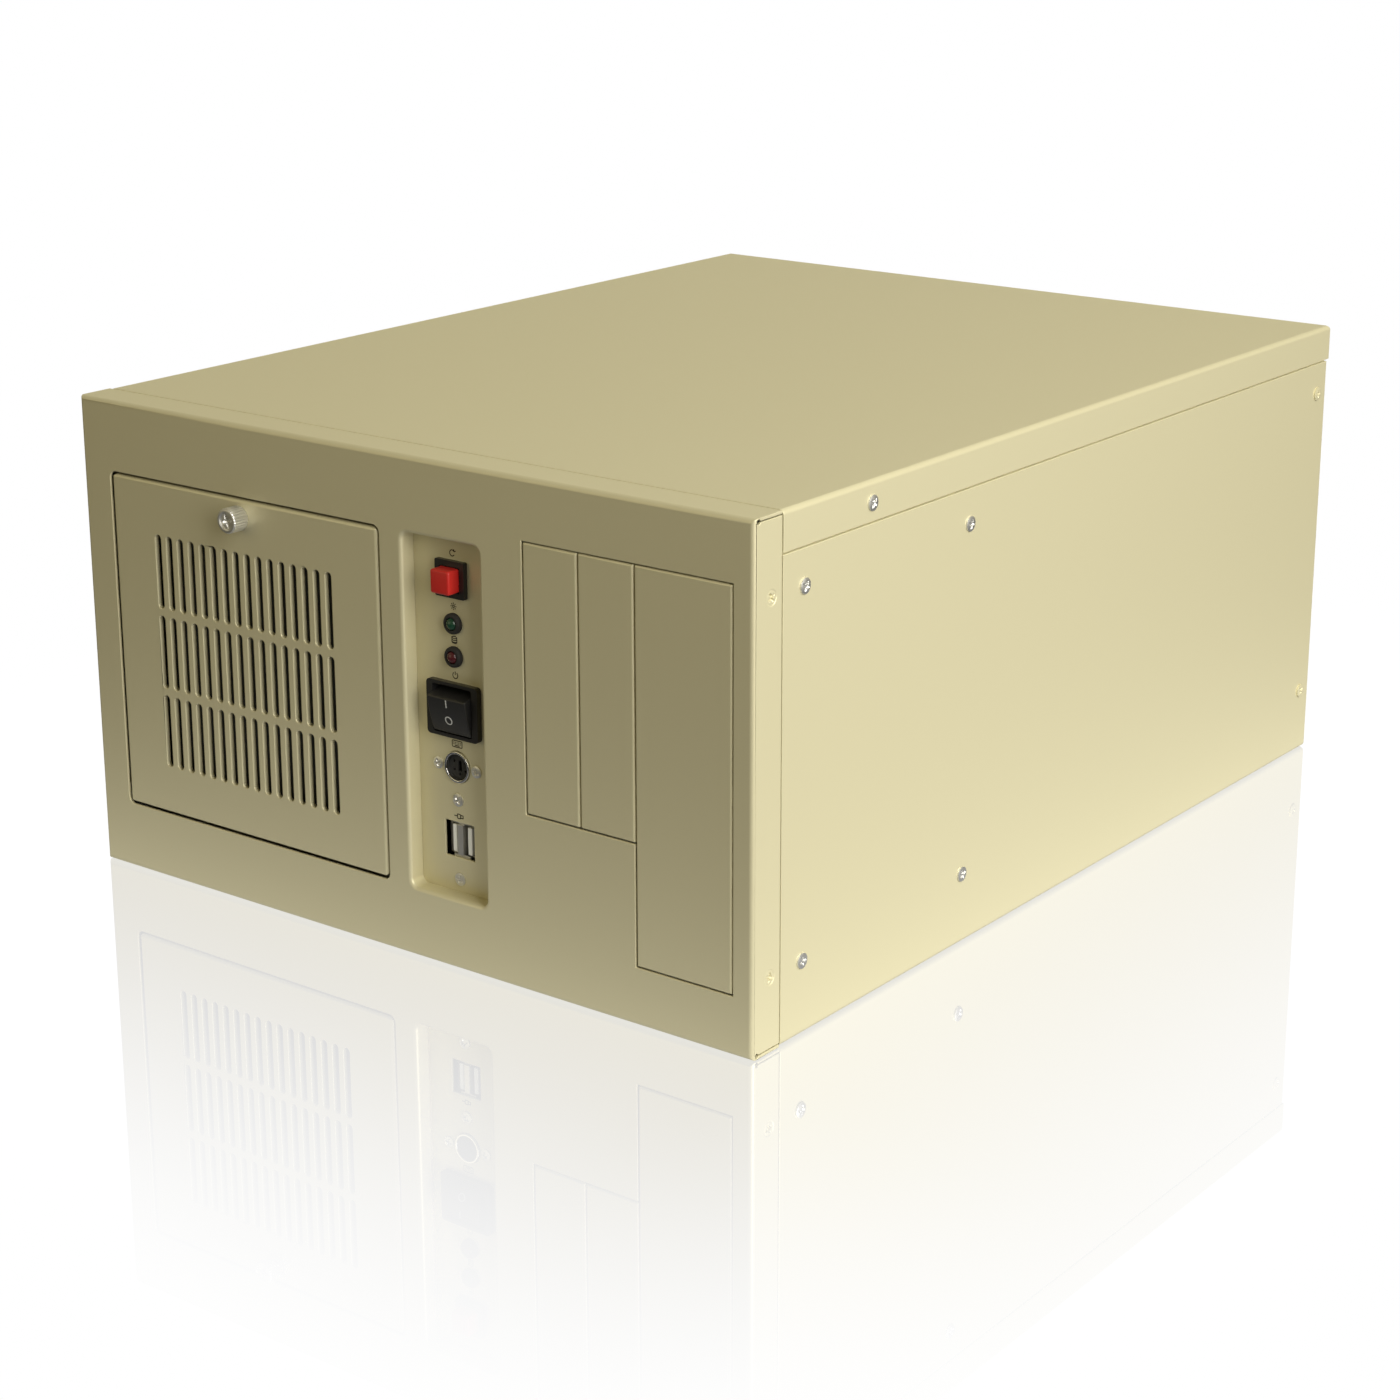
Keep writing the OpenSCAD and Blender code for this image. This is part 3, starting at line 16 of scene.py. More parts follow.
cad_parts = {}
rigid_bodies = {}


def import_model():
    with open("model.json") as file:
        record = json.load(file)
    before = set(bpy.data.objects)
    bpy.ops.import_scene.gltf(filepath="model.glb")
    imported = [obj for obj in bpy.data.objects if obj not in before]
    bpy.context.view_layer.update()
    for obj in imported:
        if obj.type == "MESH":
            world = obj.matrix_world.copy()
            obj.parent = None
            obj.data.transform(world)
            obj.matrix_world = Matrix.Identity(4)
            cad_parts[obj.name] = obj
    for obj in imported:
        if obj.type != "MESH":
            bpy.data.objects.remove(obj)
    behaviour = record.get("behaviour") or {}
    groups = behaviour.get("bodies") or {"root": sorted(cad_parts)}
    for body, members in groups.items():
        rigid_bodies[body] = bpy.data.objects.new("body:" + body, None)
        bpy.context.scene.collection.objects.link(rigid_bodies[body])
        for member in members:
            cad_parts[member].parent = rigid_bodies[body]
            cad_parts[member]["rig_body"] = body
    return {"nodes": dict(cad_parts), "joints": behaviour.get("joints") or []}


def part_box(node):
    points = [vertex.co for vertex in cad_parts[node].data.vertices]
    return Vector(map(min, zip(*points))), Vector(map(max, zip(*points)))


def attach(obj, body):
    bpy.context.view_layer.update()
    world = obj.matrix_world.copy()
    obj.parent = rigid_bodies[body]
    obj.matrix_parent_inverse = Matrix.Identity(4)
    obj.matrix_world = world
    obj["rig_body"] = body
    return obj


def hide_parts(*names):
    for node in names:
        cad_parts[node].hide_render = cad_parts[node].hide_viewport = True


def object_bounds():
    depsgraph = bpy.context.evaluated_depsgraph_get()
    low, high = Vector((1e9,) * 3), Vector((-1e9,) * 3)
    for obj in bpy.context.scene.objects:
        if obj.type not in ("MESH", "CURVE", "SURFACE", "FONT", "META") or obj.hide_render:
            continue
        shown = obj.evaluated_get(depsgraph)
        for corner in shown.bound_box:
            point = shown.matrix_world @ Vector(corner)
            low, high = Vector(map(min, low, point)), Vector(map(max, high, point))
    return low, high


bl_info = {
    "name": "Industrial Computer Case",
    "version": (1, 0, 0),
    "blender": (4, 5, 0),
    "location": "3D View > Sidebar > Case",
    "description": "Builds the finished pieces of an industrial computer case round its CAD frame",
    "category": "Object",
}

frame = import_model()
CAD_BOX = [list(corner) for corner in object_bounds()]
NODES = frame["nodes"]
BODY_OF = {name: node["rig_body"] for name, node in NODES.items()}

MM = 0.001
TURN = 2 * math.pi
WELD = 2e-6            # points nearer than this are one point
FLAT = 0.7             # faces that bend less than this many degrees are one face
SHARP = 25             # edges that bend more than this many degrees are rounded
# Each face's directions: to its right, up it and outwards
FACING = {
    "front": ((1, 0, 0), (0, 0, 1), (0, -1, 0)),
    "rear": ((-1, 0, 0), (0, 0, 1), (0, 1, 0)),
    "right": ((0, 1, 0), (0, 0, 1), (1, 0, 0)),
    "left": ((0, -1, 0), (0, 0, 1), (-1, 0, 0)),
    "up": ((1, 0, 0), (0, 1, 0), (0, 0, 1)),
}


# ---------- reading the frame ----------

def corners(node):
    """Lowest and highest corner of a CAD node, as arrays."""
    low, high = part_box(node)
    return np.array(low), np.array(high)


def middle(node):
    """Middle of a CAD node's box."""
    low, high = corners(node)
    return (low + high) / 2


def merged(node):
    """Points and triangles of a CAD node, with points that share a place made one."""
    mesh = NODES[node].data
    points = np.empty(len(mesh.vertices) * 3, np.float32)
    mesh.vertices.foreach_get("co", points)
    mesh.calc_loop_triangles()
    tris = np.empty(len(mesh.loop_triangles) * 3, np.int32)
    mesh.loop_triangles.foreach_get("vertices", tris)
    points = points.reshape(-1, 3).astype(float)
    _, first, index = np.unique(np.round(points / WELD).astype(np.int64), axis=0,
                                return_index=True, return_inverse=True)
    return points[first], index.ravel()[tris].reshape(-1, 3)


def solids(node):
    """Boxes of a CAD node's separate solids, low to high in X, Y and Z.

    Every point takes the lowest point number that it can reach over shared triangles."""
    points, tris = merged(node)
    label = np.arange(len(points))
    while True:
        spread = label.copy()
        np.minimum.at(spread, tris.ravel(), np.repeat(label[tris].min(axis=1), 3))
        spread = spread[spread]
        if np.array_equal(spread, label):
            break
        label = spread
    boxes = [(points[label == k].min(0), points[label == k].max(0)) for k in np.unique(label)]
    return sorted(boxes, key=lambda box: tuple(np.round(box[0], 4)))


def anchor(joint):
    """A joint's pivot."""
    return np.array(next(j for j in frame["joints"] if j["name"] == joint)["pos_m"])


# ---------- shapes: points and blocks of faces ----------

def quads(rows, cols):
    """Faces of a grid of rows x cols points whose last column joins its first."""
    row = np.arange(rows - 1)[:, None] * cols
    col = np.arange(cols)[None, :]
    side = (col + 1) % cols
    corner = [row + col, row + side, row + cols + side, row + cols + col]
    return np.stack(corner, -1).reshape(-1, 4)


def lofted(rings, ends=True):
    """Skin through closed rings of points, (rows, cols, 3), with a flat face at each end."""
    rows, cols = rings.shape[:2]
    faces = [quads(rows, cols)]
    if ends:
        faces += [np.arange(cols)[None, ::-1], np.arange((rows - 1) * cols, rows * cols)[None, :]]
    return rings.reshape(-1, 3), faces


def turned(profile, sides=48):
    """Turned shape: (radius, height) points carried round +Z, each at radius cos a, radius sin a
    and its height."""
    radius, height = np.array(profile, float).T[:, :, None]
    angle = np.linspace(0, TURN, sides, endpoint=False)[None, :]
    rings = np.stack([radius * np.cos(angle), radius * np.sin(angle), height + 0 * angle], -1)
    return lofted(rings, ends=False)


def rounded(start, stop, steps=4):
    """Quarter round from one (radius, height) point to another, leaving upwards and arriving flat."""
    angle = np.linspace(0, math.pi / 2, steps + 1)[:, None]
    start, stop = np.array(start, float), np.array(stop, float)
    swing = np.concatenate([1 - np.cos(angle), np.sin(angle)], 1)
    return (start + (stop - start) * swing).tolist()


def rounded_loop(width, height, radius, steps=5):
    """Rectangle with round corners: each corner's centre plus radius (cos a, sin a)."""
    angle = (np.linspace(0, math.pi / 2, steps + 1) + np.arange(4)[:, None] * math.pi / 2).ravel()
    sign = np.repeat([(1, 1), (-1, 1), (-1, -1), (1, -1)], steps + 1, axis=0)
    centre = sign * (np.array([width, height]) / 2 - radius)
    return centre + radius * np.stack([np.cos(angle), np.sin(angle)], 1)


def block(width, height, depth, corner, edge, steps=3):
    """Block from z = 0 to depth: round corners, and a front rim whose outline draws in by
    edge (1 - cos a) while it rises by edge sin a."""
    angle = np.linspace(0, math.pi / 2, steps + 1)
    inset = np.concatenate([[0], edge * (1 - np.cos(angle))])
    level = np.concatenate([[0], depth - edge + edge * np.sin(angle)])
    rings = [np.insert(rounded_loop(width - 2 * i, height - 2 * i, corner - i + 1e-6), 2, z, axis=1)
             for i, z in zip(inset, level)]
    return lofted(np.stack(rings))


def swept(section, path, closed=False, up=(0, 0, 1)):
    """Section (across, rise) carried along a path, on the two directions square to its slope."""
    slope = np.roll(path, -1, 0) - np.roll(path, 1, 0) if closed else np.gradient(path, axis=0)
    slope = slope / np.linalg.norm(slope, axis=1, keepdims=True)
    across = np.cross(slope, np.array(up, float))
    across /= np.linalg.norm(across, axis=1, keepdims=True)
    rise = np.cross(across, slope)
    rings = (path[:, None, :] + section[None, :, 0:1] * across[:, None, :]
             + section[None, :, 1:2] * rise[:, None, :])
    if closed:
        return lofted(np.concatenate([rings, rings[:1]]), ends=False)
    return lofted(rings)


def circle(radius, sides=12):
    """Closed ring of points in a plane."""
    angle = np.linspace(0, TURN, sides, endpoint=False)
    return radius * np.stack([np.cos(angle), np.sin(angle)], 1)


def placed(shape, at, facing="up", turn=0.0):
    """Shape turned about its own Z and set with its Z along a face's outward direction."""
    points, faces = shape
    c, s = math.cos(turn), math.sin(turn)
    spun = points @ np.array([[c, s, 0], [-s, c, 0], [0, 0, 1.0]])
    return spun @ np.array(FACING[facing], float) + np.array(at, float), faces


# ---------- meshes and pieces ----------

def mesh_of(name, shapes):
    """Mesh from shapes: doubles merged, so that poles and seams close, then normals set outward."""
    faces, base = [], 0
    for points, blocks in shapes:
        for rows in blocks:
            faces += (rows + base).tolist()
        base += len(points)
    mesh = bpy.data.meshes.new(name)
    mesh.from_pydata(np.concatenate([points for points, _ in shapes]).tolist(), [], faces)
    work = bmesh.new()
    work.from_mesh(mesh)
    bmesh.ops.remove_doubles(work, verts=work.verts, dist=WELD)
    bmesh.ops.dissolve_degenerate(work, edges=work.edges, dist=WELD)
    bmesh.ops.recalc_face_normals(work, faces=work.faces)
    work.to_mesh(mesh)
    work.free()
    return mesh


def smooth(mesh, sharp=35):
    """Smooth shading that breaks where two faces meet at more than sharp degrees."""
    mesh.polygons.foreach_set("use_smooth", np.ones(len(mesh.polygons), bool))
    mesh.set_sharp_from_angle(angle=math.radians(sharp))


def shown(mesh, slot, body, replaces=()):
    """Object of a mesh, in its finish, on its body, in place of the CAD nodes it stands for."""
    thing = bpy.data.objects.new(mesh.name, mesh)
    bpy.context.scene.collection.objects.link(thing)
    mesh.materials.append(finish(slot))
    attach(thing, body)
    if replaces:
        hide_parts(*replaces)
    return thing


def piece(name, shapes, slot, body, replaces=(), sharp=35):
    """Piece made of shapes."""
    mesh = mesh_of(name, shapes)
    smooth(mesh, sharp)
    return shown(mesh, slot, body, replaces)


def edge_bends(mesh):
    """Cosine of the bend at each edge, from the normals of its two faces, and the edge's middle."""
    loops, polygons, edges = len(mesh.loops), len(mesh.polygons), len(mesh.edges)
    edge_of = np.empty(loops, np.int32)
    mesh.loops.foreach_get("edge_index", edge_of)
    count = np.empty(polygons, np.int32)
    mesh.polygons.foreach_get("loop_total", count)
    normal = np.empty(polygons * 3, np.float32)
    mesh.polygons.foreach_get("normal", normal)
    face_of = np.repeat(np.arange(polygons), count)
    order = np.argsort(edge_of, kind="stable")
    first = np.searchsorted(edge_of[order], np.arange(edges))
    second = np.minimum(first + 1, loops - 1)
    normal = normal.reshape(-1, 3)
    bend = (normal[face_of[order[first]]] * normal[face_of[order[second]]]).sum(1)
    ends = np.empty(edges * 2, np.int32)
    mesh.edges.foreach_get("vertices", ends)
    points = np.empty(len(mesh.vertices) * 3, np.float32)
    mesh.vertices.foreach_get("co", points)
    return bend, points.reshape(-1, 3)[ends.reshape(-1, 2)].mean(1)


def softened(node, slot, edge, segments=2, lip=None, cuts=(), clamp=False, trim=0.0):
    """Copy of a CAD node with its sharp edges rounded.

    Flat neighbours are joined to whole faces, and each edge that bends more than SHARP degrees
    gets a bevel weight of edge / widest. lip is (low corner, high corner, radius): edges in that
    box are rounded to that radius. cuts are X positions: upright seams through the middles of
    wide openings, so that no joined face has a hole in it. clamp holds widths to the shortest
    edge, and trim takes that much off the rear rim."""
    points, tris = merged(node)
    points[points[:, 1] > points[:, 1].max() - 10 * WELD, 1] -= trim
    mesh = bpy.data.meshes.new(node + "_skin")
    mesh.from_pydata(points.tolist(), [], tris.tolist())
    work = bmesh.new()
    work.from_mesh(mesh)
    bmesh.ops.dissolve_degenerate(work, edges=work.edges, dist=WELD)
    for x in cuts:
        cut = bmesh.ops.bisect_plane(work, geom=[*work.verts, *work.edges, *work.faces], dist=WELD,
                                     plane_co=(x, 0, 0), plane_no=(1, 0, 0))
        for edge_cut in cut["geom_cut"]:
            if isinstance(edge_cut, bmesh.types.BMEdge):
                edge_cut.seam = True
    bmesh.ops.dissolve_limit(work, angle_limit=math.radians(FLAT), verts=work.verts,
                             edges=work.edges, delimit={"SEAM"})
    work.to_mesh(mesh)
    work.free()
    bend, centre = edge_bends(mesh)
    widest = lip[2] if lip else edge
    weight = np.where(bend < math.cos(math.radians(SHARP)), edge / widest, 0.0)
    if lip:
        inside = ((centre > lip[0]) & (centre < lip[1])).all(1)
        weight = np.where(inside & (weight > 0), 1.0, weight)
    mesh.attributes.new("bevel_weight_edge", "FLOAT", "EDGE").data.foreach_set(
        "value", weight.astype(np.float32))
    mesh.polygons.foreach_set("use_smooth", np.ones(len(mesh.polygons), bool))
    thing = shown(mesh, slot, BODY_OF[node], (node,))
    bevel = thing.modifiers.new("edges", "BEVEL")
    bevel.limit_method = "WEIGHT"
    bevel.width = widest
    bevel.segments = segments
    bevel.use_clamp_overlap = clamp
    bevel.loop_slide = True
    even = thing.modifiers.new("even_normals", "WEIGHTED_NORMAL")
    even.weight = 100
    even.keep_sharp = False
    return thing


def coated(node, slot):
    """Gives a CAD node a finish and leaves its shape alone."""
    thing = NODES[node]
    for place in thing.material_slots:
        place.link = "OBJECT"
        place.material = finish(slot)


# ---------- finishes ----------

class Wire:
    """A node's output. Arithmetic on it adds Math nodes."""

    def __init__(self, tree, socket):
        self.tree = tree
        self.socket = socket

    def math(self, operation, *values):
        """A Math node on wires and numbers."""
        return self.tree.node("Math", {"operation": operation}, dict(enumerate(values)))

    def __add__(self, other):
        return self.math("ADD", self, other)

    def __radd__(self, other):
        return self.math("ADD", other, self)

    def __sub__(self, other):
        return self.math("SUBTRACT", self, other)

    def __rsub__(self, other):
        return self.math("SUBTRACT", other, self)

    def __mul__(self, other):
        return self.math("MULTIPLY", self, other)

    def __rmul__(self, other):
        return self.math("MULTIPLY", other, self)


# Kinds of ray, in the order of the light path node's outputs
RAYS = ("camera", "shadow", "diffuse", "glossy", "singular")


class Tree:
    """A node tree with one method that adds any node."""

    def __init__(self, owner):
        owner.use_nodes = True
        self.tree = owner.node_tree
        self.tree.nodes.clear()

    def node(self, kind, settings=None, sockets=None, output=0):
        """Adds a shader node: its settings first, then its sockets' values or links."""
        made = self.tree.nodes.new("ShaderNode" + kind)
        for name, value in (settings or {}).items():
            setattr(made, name, value)
        for name, value in (sockets or {}).items():
            if isinstance(value, Wire):
                self.tree.links.new(value.socket, made.inputs[name])
            else:
                made.inputs[name].default_value = value
        return Wire(self, made.outputs[output]) if len(made.outputs) else made

    def place(self):
        """Places on the piece, in metres."""
        return self.node("TexCoord", output=3)

    def ray(self, kind):
        """1 for rays of a kind and 0 for others. A singular ray comes off a perfect mirror."""
        return self.node("LightPath", output=RAYS.index(kind))

    def noise(self, scale, detail=2.0, roughness=0.5, vector=None):
        """Noise from 0 to 1 with about scale bumps a metre."""
        return self.node("TexNoise", {}, {"Vector": vector or self.place(), "Scale": scale,
                                          "Detail": detail, "Roughness": roughness})

    def stretched(self, scale):
        """Places scaled by three factors, for grain that runs one way."""
        return self.node("VectorMath", {"operation": "MULTIPLY"}, {0: self.place(), 1: scale})

    def mix(self, share, first, second):
        """Colour between two colours."""
        return self.node("Mix", {"data_type": "RGBA"}, {0: share, 6: first, 7: second}, output=2)

    def band(self, value, low, high):
        """0 below low and 1 above high, smooth between."""
        return self.node("MapRange", {"interpolation_type": "SMOOTHSTEP"},
                         {"Value": value, "From Min": low, "From Max": high})

    def bump(self, height, distance, strength=1.0):
        """Normal from a height that runs from 0 to 1 over a distance in metres."""
        return self.node("Bump", {}, {"Height": height, "Distance": distance, "Strength": strength})


class Finish(Tree):
    """A piece's surface: one Principled shader with what changes over it wired in."""

    def __init__(self, name):
        self.material = bpy.data.materials.new(name)
        super().__init__(self.material)

    def surface(self, **values):
        """Sets the shader's sockets; their names have _ for spaces."""
        shader = self.node("BsdfPrincipled", {},
                           {name.replace("_", " "): value for name, value in values.items()})
        self.node("OutputMaterial", {}, {"Surface": shader})
        return self.material


def shade(colour, factor=1.0):
    """Colour as four numbers, lighter or darker."""
    return tuple(min(1.0, c * factor) for c in colour[:3]) + (1.0,)


def beige_paint(f, look):
    """Powder coat: fine orange-peel bump, faint clouding of colour and gloss."""
    cloud = f.noise(14, 3)
    peel = f.noise(950, 1.5) + 0.35 * f.noise(3200, 1)
    return f.surface(Base_Color=f.mix(cloud, shade(look.paint, 0.985), shade(look.paint, 1.015)),
                     Roughness=0.42 + 0.1 * f.noise(160, 2),
                     Normal=f.bump(peel, 0.00003, 0.55), Specular_IOR_Level=0.3)


def metal(f, colour, rough, spread, scale, bump=0.000004, metallic=1.0):
    """Bare metal: grain that runs along the small scale factors, in gloss, tone and bump."""
    line = f.noise(1.0, 3, 0.6, f.stretched(scale))
    return f.surface(Base_Color=f.mix(line, shade(colour, 0.88), shade(colour, 1.06)),
                     Roughness=rough + spread * line, Metallic=metallic,
                     Normal=f.bump(line, bump, 0.6))


def zinc_sheet(f, look):
    """Galvanised sheet: flat crystals a few millimetres wide that differ in tone and gloss."""
    crystals = f.node("TexVoronoi", {}, {"Vector": f.place(), "Scale": 210.0}, output=1)
    tone = f.node("SeparateColor", {}, {"Color": crystals})
    return f.surface(Base_Color=f.mix(tone, shade(look.zinc, 0.86), shade(look.zinc, 1.0)),
                     Roughness=0.34 + 0.16 * tone, Metallic=0.95,
                     Normal=f.bump(f.noise(700, 2), 0.000012, 0.5))


def bright_zinc(f, look):
    """Plated screws and pins: even grain, fairly bright."""
    return metal(f, look.bright, 0.16, 0.16, (900, 900, 900))


def chrome_shell(f, look):
    """Chrome: close to a mirror."""
    return metal(f, (0.86, 0.86, 0.85), 0.06, 0.1, (700, 700, 700))


def nickel_shell(f, look):
    """Dull nickel on stamped socket shells, drawn across their height."""
    return metal(f, (0.86, 0.85, 0.8), 0.34, 0.14, (500, 500, 2500),
                 metallic=0.25)


def heatsink_aluminium(f, look):
    """Extruded aluminium: grain along the fins."""
    return metal(f, (0.78, 0.79, 0.8), 0.3, 0.18, (2600, 120, 120))


def drive_aluminium(f, look):
    """Cast aluminium: coarse, even grain."""
    return metal(f, (0.52, 0.54, 0.55), 0.36, 0.2, (1400, 1400, 1400), 0.00001)


def brass_spacer(f, look):
    """Turned brass: rings round the post."""
    return metal(f, (0.78, 0.56, 0.25), 0.22, 0.14, (300, 300, 3000))


def gold_contact(f, look):
    """Gold flash on contacts and pins."""
    return metal(f, (0.83, 0.61, 0.26), 0.2, 0.1, (900, 900, 900))


def spring_clip(f, look):
    """Dark spring steel."""
    return metal(f, (0.35, 0.35, 0.36), 0.3, 0.15, (900, 900, 900))


def plastic(f, colour, rough, texture=1600.0, bump=0.00001, **values):
    """Moulded plastic: fine spark texture in bump and gloss."""
    spark = f.noise(texture, 2)
    return f.surface(Base_Color=f.mix(f.noise(40, 2), shade(colour, 0.92), shade(colour, 1.08)),
                     Roughness=rough + 0.12 * spark, Normal=f.bump(spark, bump, 0.5), **values)


def black_plastic(f, look):
    """Housings, fans and sockets in matt black."""
    return plastic(f, look.black, 0.38, Specular_IOR_Level=0.1)


def black_switch(f, look):
    """Switch housings and rockers: smoother and deeper black."""
    return plastic(f, look.switch, 0.3, 2400.0, 0.000006, Specular_IOR_Level=0.07)


def red_cap(f, look):
    """Reset cap: bright red with a thin gloss."""
    return plastic(f, look.cap, 0.24, 2600.0, 0.000005, Coat_Weight=0.15)


def white_plastic(f, look):
    """Tongues of the USB ports."""
    return plastic(f, (0.82, 0.83, 0.79), 0.3, 2000.0, 0.000006)


def cable_sleeve(f, look):
    """Woven sleeve on the cable looms."""
    return plastic(f, (0.018, 0.018, 0.02), 0.42, 1300.0, 0.00003)


def lens(f, colour):
    """Tinted lamp lens: deep colour under a clear gloss."""
    return f.surface(Base_Color=f.mix(f.noise(500, 1), shade(colour, 0.75), shade(colour, 1.3)),
                     Roughness=0.04 + 0.06 * f.noise(900, 1), Specular_IOR_Level=0.45)


def green_lens(f, look):
    """Power lamp's lens."""
    return lens(f, look.power_lens)


def red_lens(f, look):
    """Disk lamp's lens."""
    return lens(f, look.disk_lens)


def foam(f, look):
    """Open-cell foam: pits of about a millimetre, with painted shade that darkens them towards the
    bottom and painted light on the raised parts.
    """
    cell = f.node("TexVoronoi", {}, {"Vector": f.place(), "Scale": 900.0}, output=0)
    # Painted light and shade: the colour runs from 1.7 times the foam colour on the raised parts to
    # 0.4 times at the bottom of the pits.
    return f.surface(Base_Color=f.mix(cell, shade(look.foam, 1.7), shade(look.foam, 0.4)),
                     Roughness=0.86 + 0.1 * cell, Normal=f.bump(1 - cell, 0.0004, 0.9))


def circuit_board(f, look):
    """Solder mask over fine copper tracks: two sets of square cells give the tracks' edges."""
    tracks = f.node("TexVoronoi", {"distance": "CHEBYCHEV", "feature": "F1"},
                    {"Vector": f.place(), "Scale": 260.0, "Randomness": 0.85}, output=0)
    line = f.band(tracks, 0.42, 0.5)
    pads = f.band(f.noise(420, 1), 0.66, 0.69)
    green = f.mix(line, shade(look.board, 0.8), shade(look.board, 1.9))
    return f.surface(Base_Color=f.mix(pads, green, (0.5, 0.5, 0.46, 1)),
                     Roughness=0.28 + 0.2 * f.noise(60, 2), Normal=f.bump(line, 0.00003, 0.6))


def ink(f, look):
    """Screen print: dark brown with a slightly uneven edge to its gloss."""
    return plastic(f, look.ink, 0.5, 3000.0, 0.000004)


def print_white(f, look):
    """Pale print on the rocker."""
    return plastic(f, (0.55, 0.56, 0.55), 0.45, 3000.0, 0.000004)


FINISHES = {maker.__name__: maker for maker in (
    beige_paint, zinc_sheet, bright_zinc, chrome_shell, nickel_shell, heatsink_aluminium,
    drive_aluminium, brass_spacer, gold_contact, spring_clip, black_plastic, black_switch, red_cap,
    white_plastic, cable_sleeve, green_lens, red_lens, foam, circuit_board, ink, print_white)}


def finish(slot):
    """The material of a finish, made the first time that it is asked for."""
    known = bpy.data.materials.get(slot)
    return known or FINISHES[slot](Finish(slot), bpy.context.scene.case_looks)


# ---------- settings ----------

def size(name, description, default):
    """A length in metres."""
    return FloatProperty(name=name, description=description, default=default, unit="LENGTH",
                         precision=5)


def colour(name, description, default):
    """A colour in linear light."""
    return FloatVectorProperty(name=name, description=description, default=default,
                               subtype="COLOR", size=3, min=0, max=1)


class CaseSizes(bpy.types.PropertyGroup):
    """Small sizes that the CAD frame leaves to the finished pieces."""

    sheet_edge: size("Sheet edge", "Radius on the cut edges of sheet parts", 0.3 * MM)
    recess_lip: size("Recess lip", "Radius where the face turns into the control recess", 1.5 * MM)
    cover_gap: size("Cover gap", "Gap between the front cover's rim and the tray", 0.5 * MM)
    print_line: size("Print line", "Width of the printed marks' lines", 0.38 * MM)
    print_gap: size("Print gap", "Gap between a printed mark and its control", 1.3 * MM)
    front_hub: size("Front fan hub", "Radius of the front fan's hub", 19 * MM)
    psu_hub: size("Power supply fan hub", "Radius of the power supply fan's hub", 14 * MM)
    blades: IntProperty(name="Blades", description="Blades on each fan", default=7, min=3, max=11)
    knurls: IntProperty(name="Knurls", description="Grooves round the thumb screw", default=30,
                        min=12, max=60)


class CaseLooks(bpy.types.PropertyGroup):
    """Colours of the finishes."""

    paint: colour("Paint", "Powder coat", (0.60, 0.545, 0.325))
    zinc: colour("Zinc sheet", "Galvanised sheet", (0.62, 0.63, 0.64))
    bright: colour("Bright zinc", "Plated screws", (0.55, 0.52, 0.43))
    black: colour("Black plastic", "Housings", (0.005, 0.005, 0.005))
    switch: colour("Switch plastic", "Rockers and their housings", (0.003, 0.003, 0.0033))
    cap: colour("Reset cap", "Reset button", (0.72, 0.015, 0.008))
    power_lens: colour("Power lens", "Power lamp, unlit", (0.001, 0.01, 0.005))
    disk_lens: colour("Disk lens", "Disk lamp, unlit", (0.009, 0.001, 0.001))
    foam: colour("Foam", "Filter foam", (0.022, 0.022, 0.023))
    board: colour("Board", "Solder mask", (0.012, 0.085, 0.035))
    ink: colour("Ink", "Printed marks", (0.022, 0.017, 0.009))


class StageSettings(bpy.types.PropertyGroup):
    """Camera, floor and lamps."""

    azimuth: FloatProperty(name="Azimuth", description="Camera's turn from the front to the right",
                           default=math.radians(37.24), subtype="ANGLE")
    elevation: FloatProperty(name="Elevation", description="Camera's height as an angle",
                             default=math.radians(16.57), subtype="ANGLE")
    roll: FloatProperty(name="Roll", description="Camera's turn about its own axis",
                        default=math.radians(0.1), subtype="ANGLE")
    place: FloatVectorProperty(name="Place", description="Camera's place", unit="LENGTH",
                               default=(0.7189, -0.9735, 0.4366))
    lens: FloatProperty(name="Lens", description="Focal length in millimetres", default=75.67)
    shift: FloatProperty(name="Shift", description="Lens shift upwards", default=-0.05)
    floor_reach: size("Floor reach", "Distance from the case where the mirror has faded", 0.26)
    floor_mirror: FloatProperty(name="Floor mirror", description="Share of mirror beside the case",
                                default=0.42)
    floor_glow: FloatProperty(name="Floor glow", description="Floor's brightness as a lamp",
                              default=1.0)


# ---------- operators ----------

class CasePart(bpy.types.Operator):
    """What every operator of this file shares."""

    bl_options = {"REGISTER", "UNDO"}

    def execute(self, context):
        self.make(context.scene.case_sizes)
        return {"FINISHED"}


class CASE_OT_painted_sheets(CasePart):
    """Painted sheet parts: tray, covers, rear panel, door, control panel and bay covers"""

    bl_idname = "case.painted_sheets"
    bl_label = "Painted sheets"

    def make(self, sizes):
        """The rim of the control recess is rounded more than the sheets' cut edges."""
        face_y = corners("front_cover")[0][1]
        low, high = corners("control_panel")
        low[1], high[1] = face_y - MM, face_y + 0.2 * MM
        middles = [middle(node)[0] for node in ("filter_door", "control_panel", "narrow_bay_cover_a",
                                                "narrow_bay_cover_b", "wide_bay_cover")]
        softened("front_cover", "beige_paint", sizes.sheet_edge, 3, (low, high, sizes.recess_lip),
                 middles, trim=sizes.cover_gap)
        softened("filter_door", "beige_paint", sizes.sheet_edge, cuts=(middle("filter_door")[0],))
        for node in ("chassis_tray", "top_cover", "rear_panel", "control_panel",
                     "narrow_bay_cover_a", "narrow_bay_cover_b", "wide_bay_cover"):
            softened(node, "beige_paint", sizes.sheet_edge)


class CASE_OT_zinc_sheets(CasePart):
    """Bare zinc parts inside: front frame, drive cage, brackets, bar and the power supply's case"""

    bl_idname = "case.zinc_sheets"
    bl_label = "Zinc sheets"

    def make(self, sizes):
        for node in ("front_frame", "hinge_brackets", "filter_tray", "drive_cage", "card_brackets",
                     "slot_covers", "hold_down_bar", "psu_case", "lid_nuts"):
            softened(node, "zinc_sheet", 0.12 * MM)


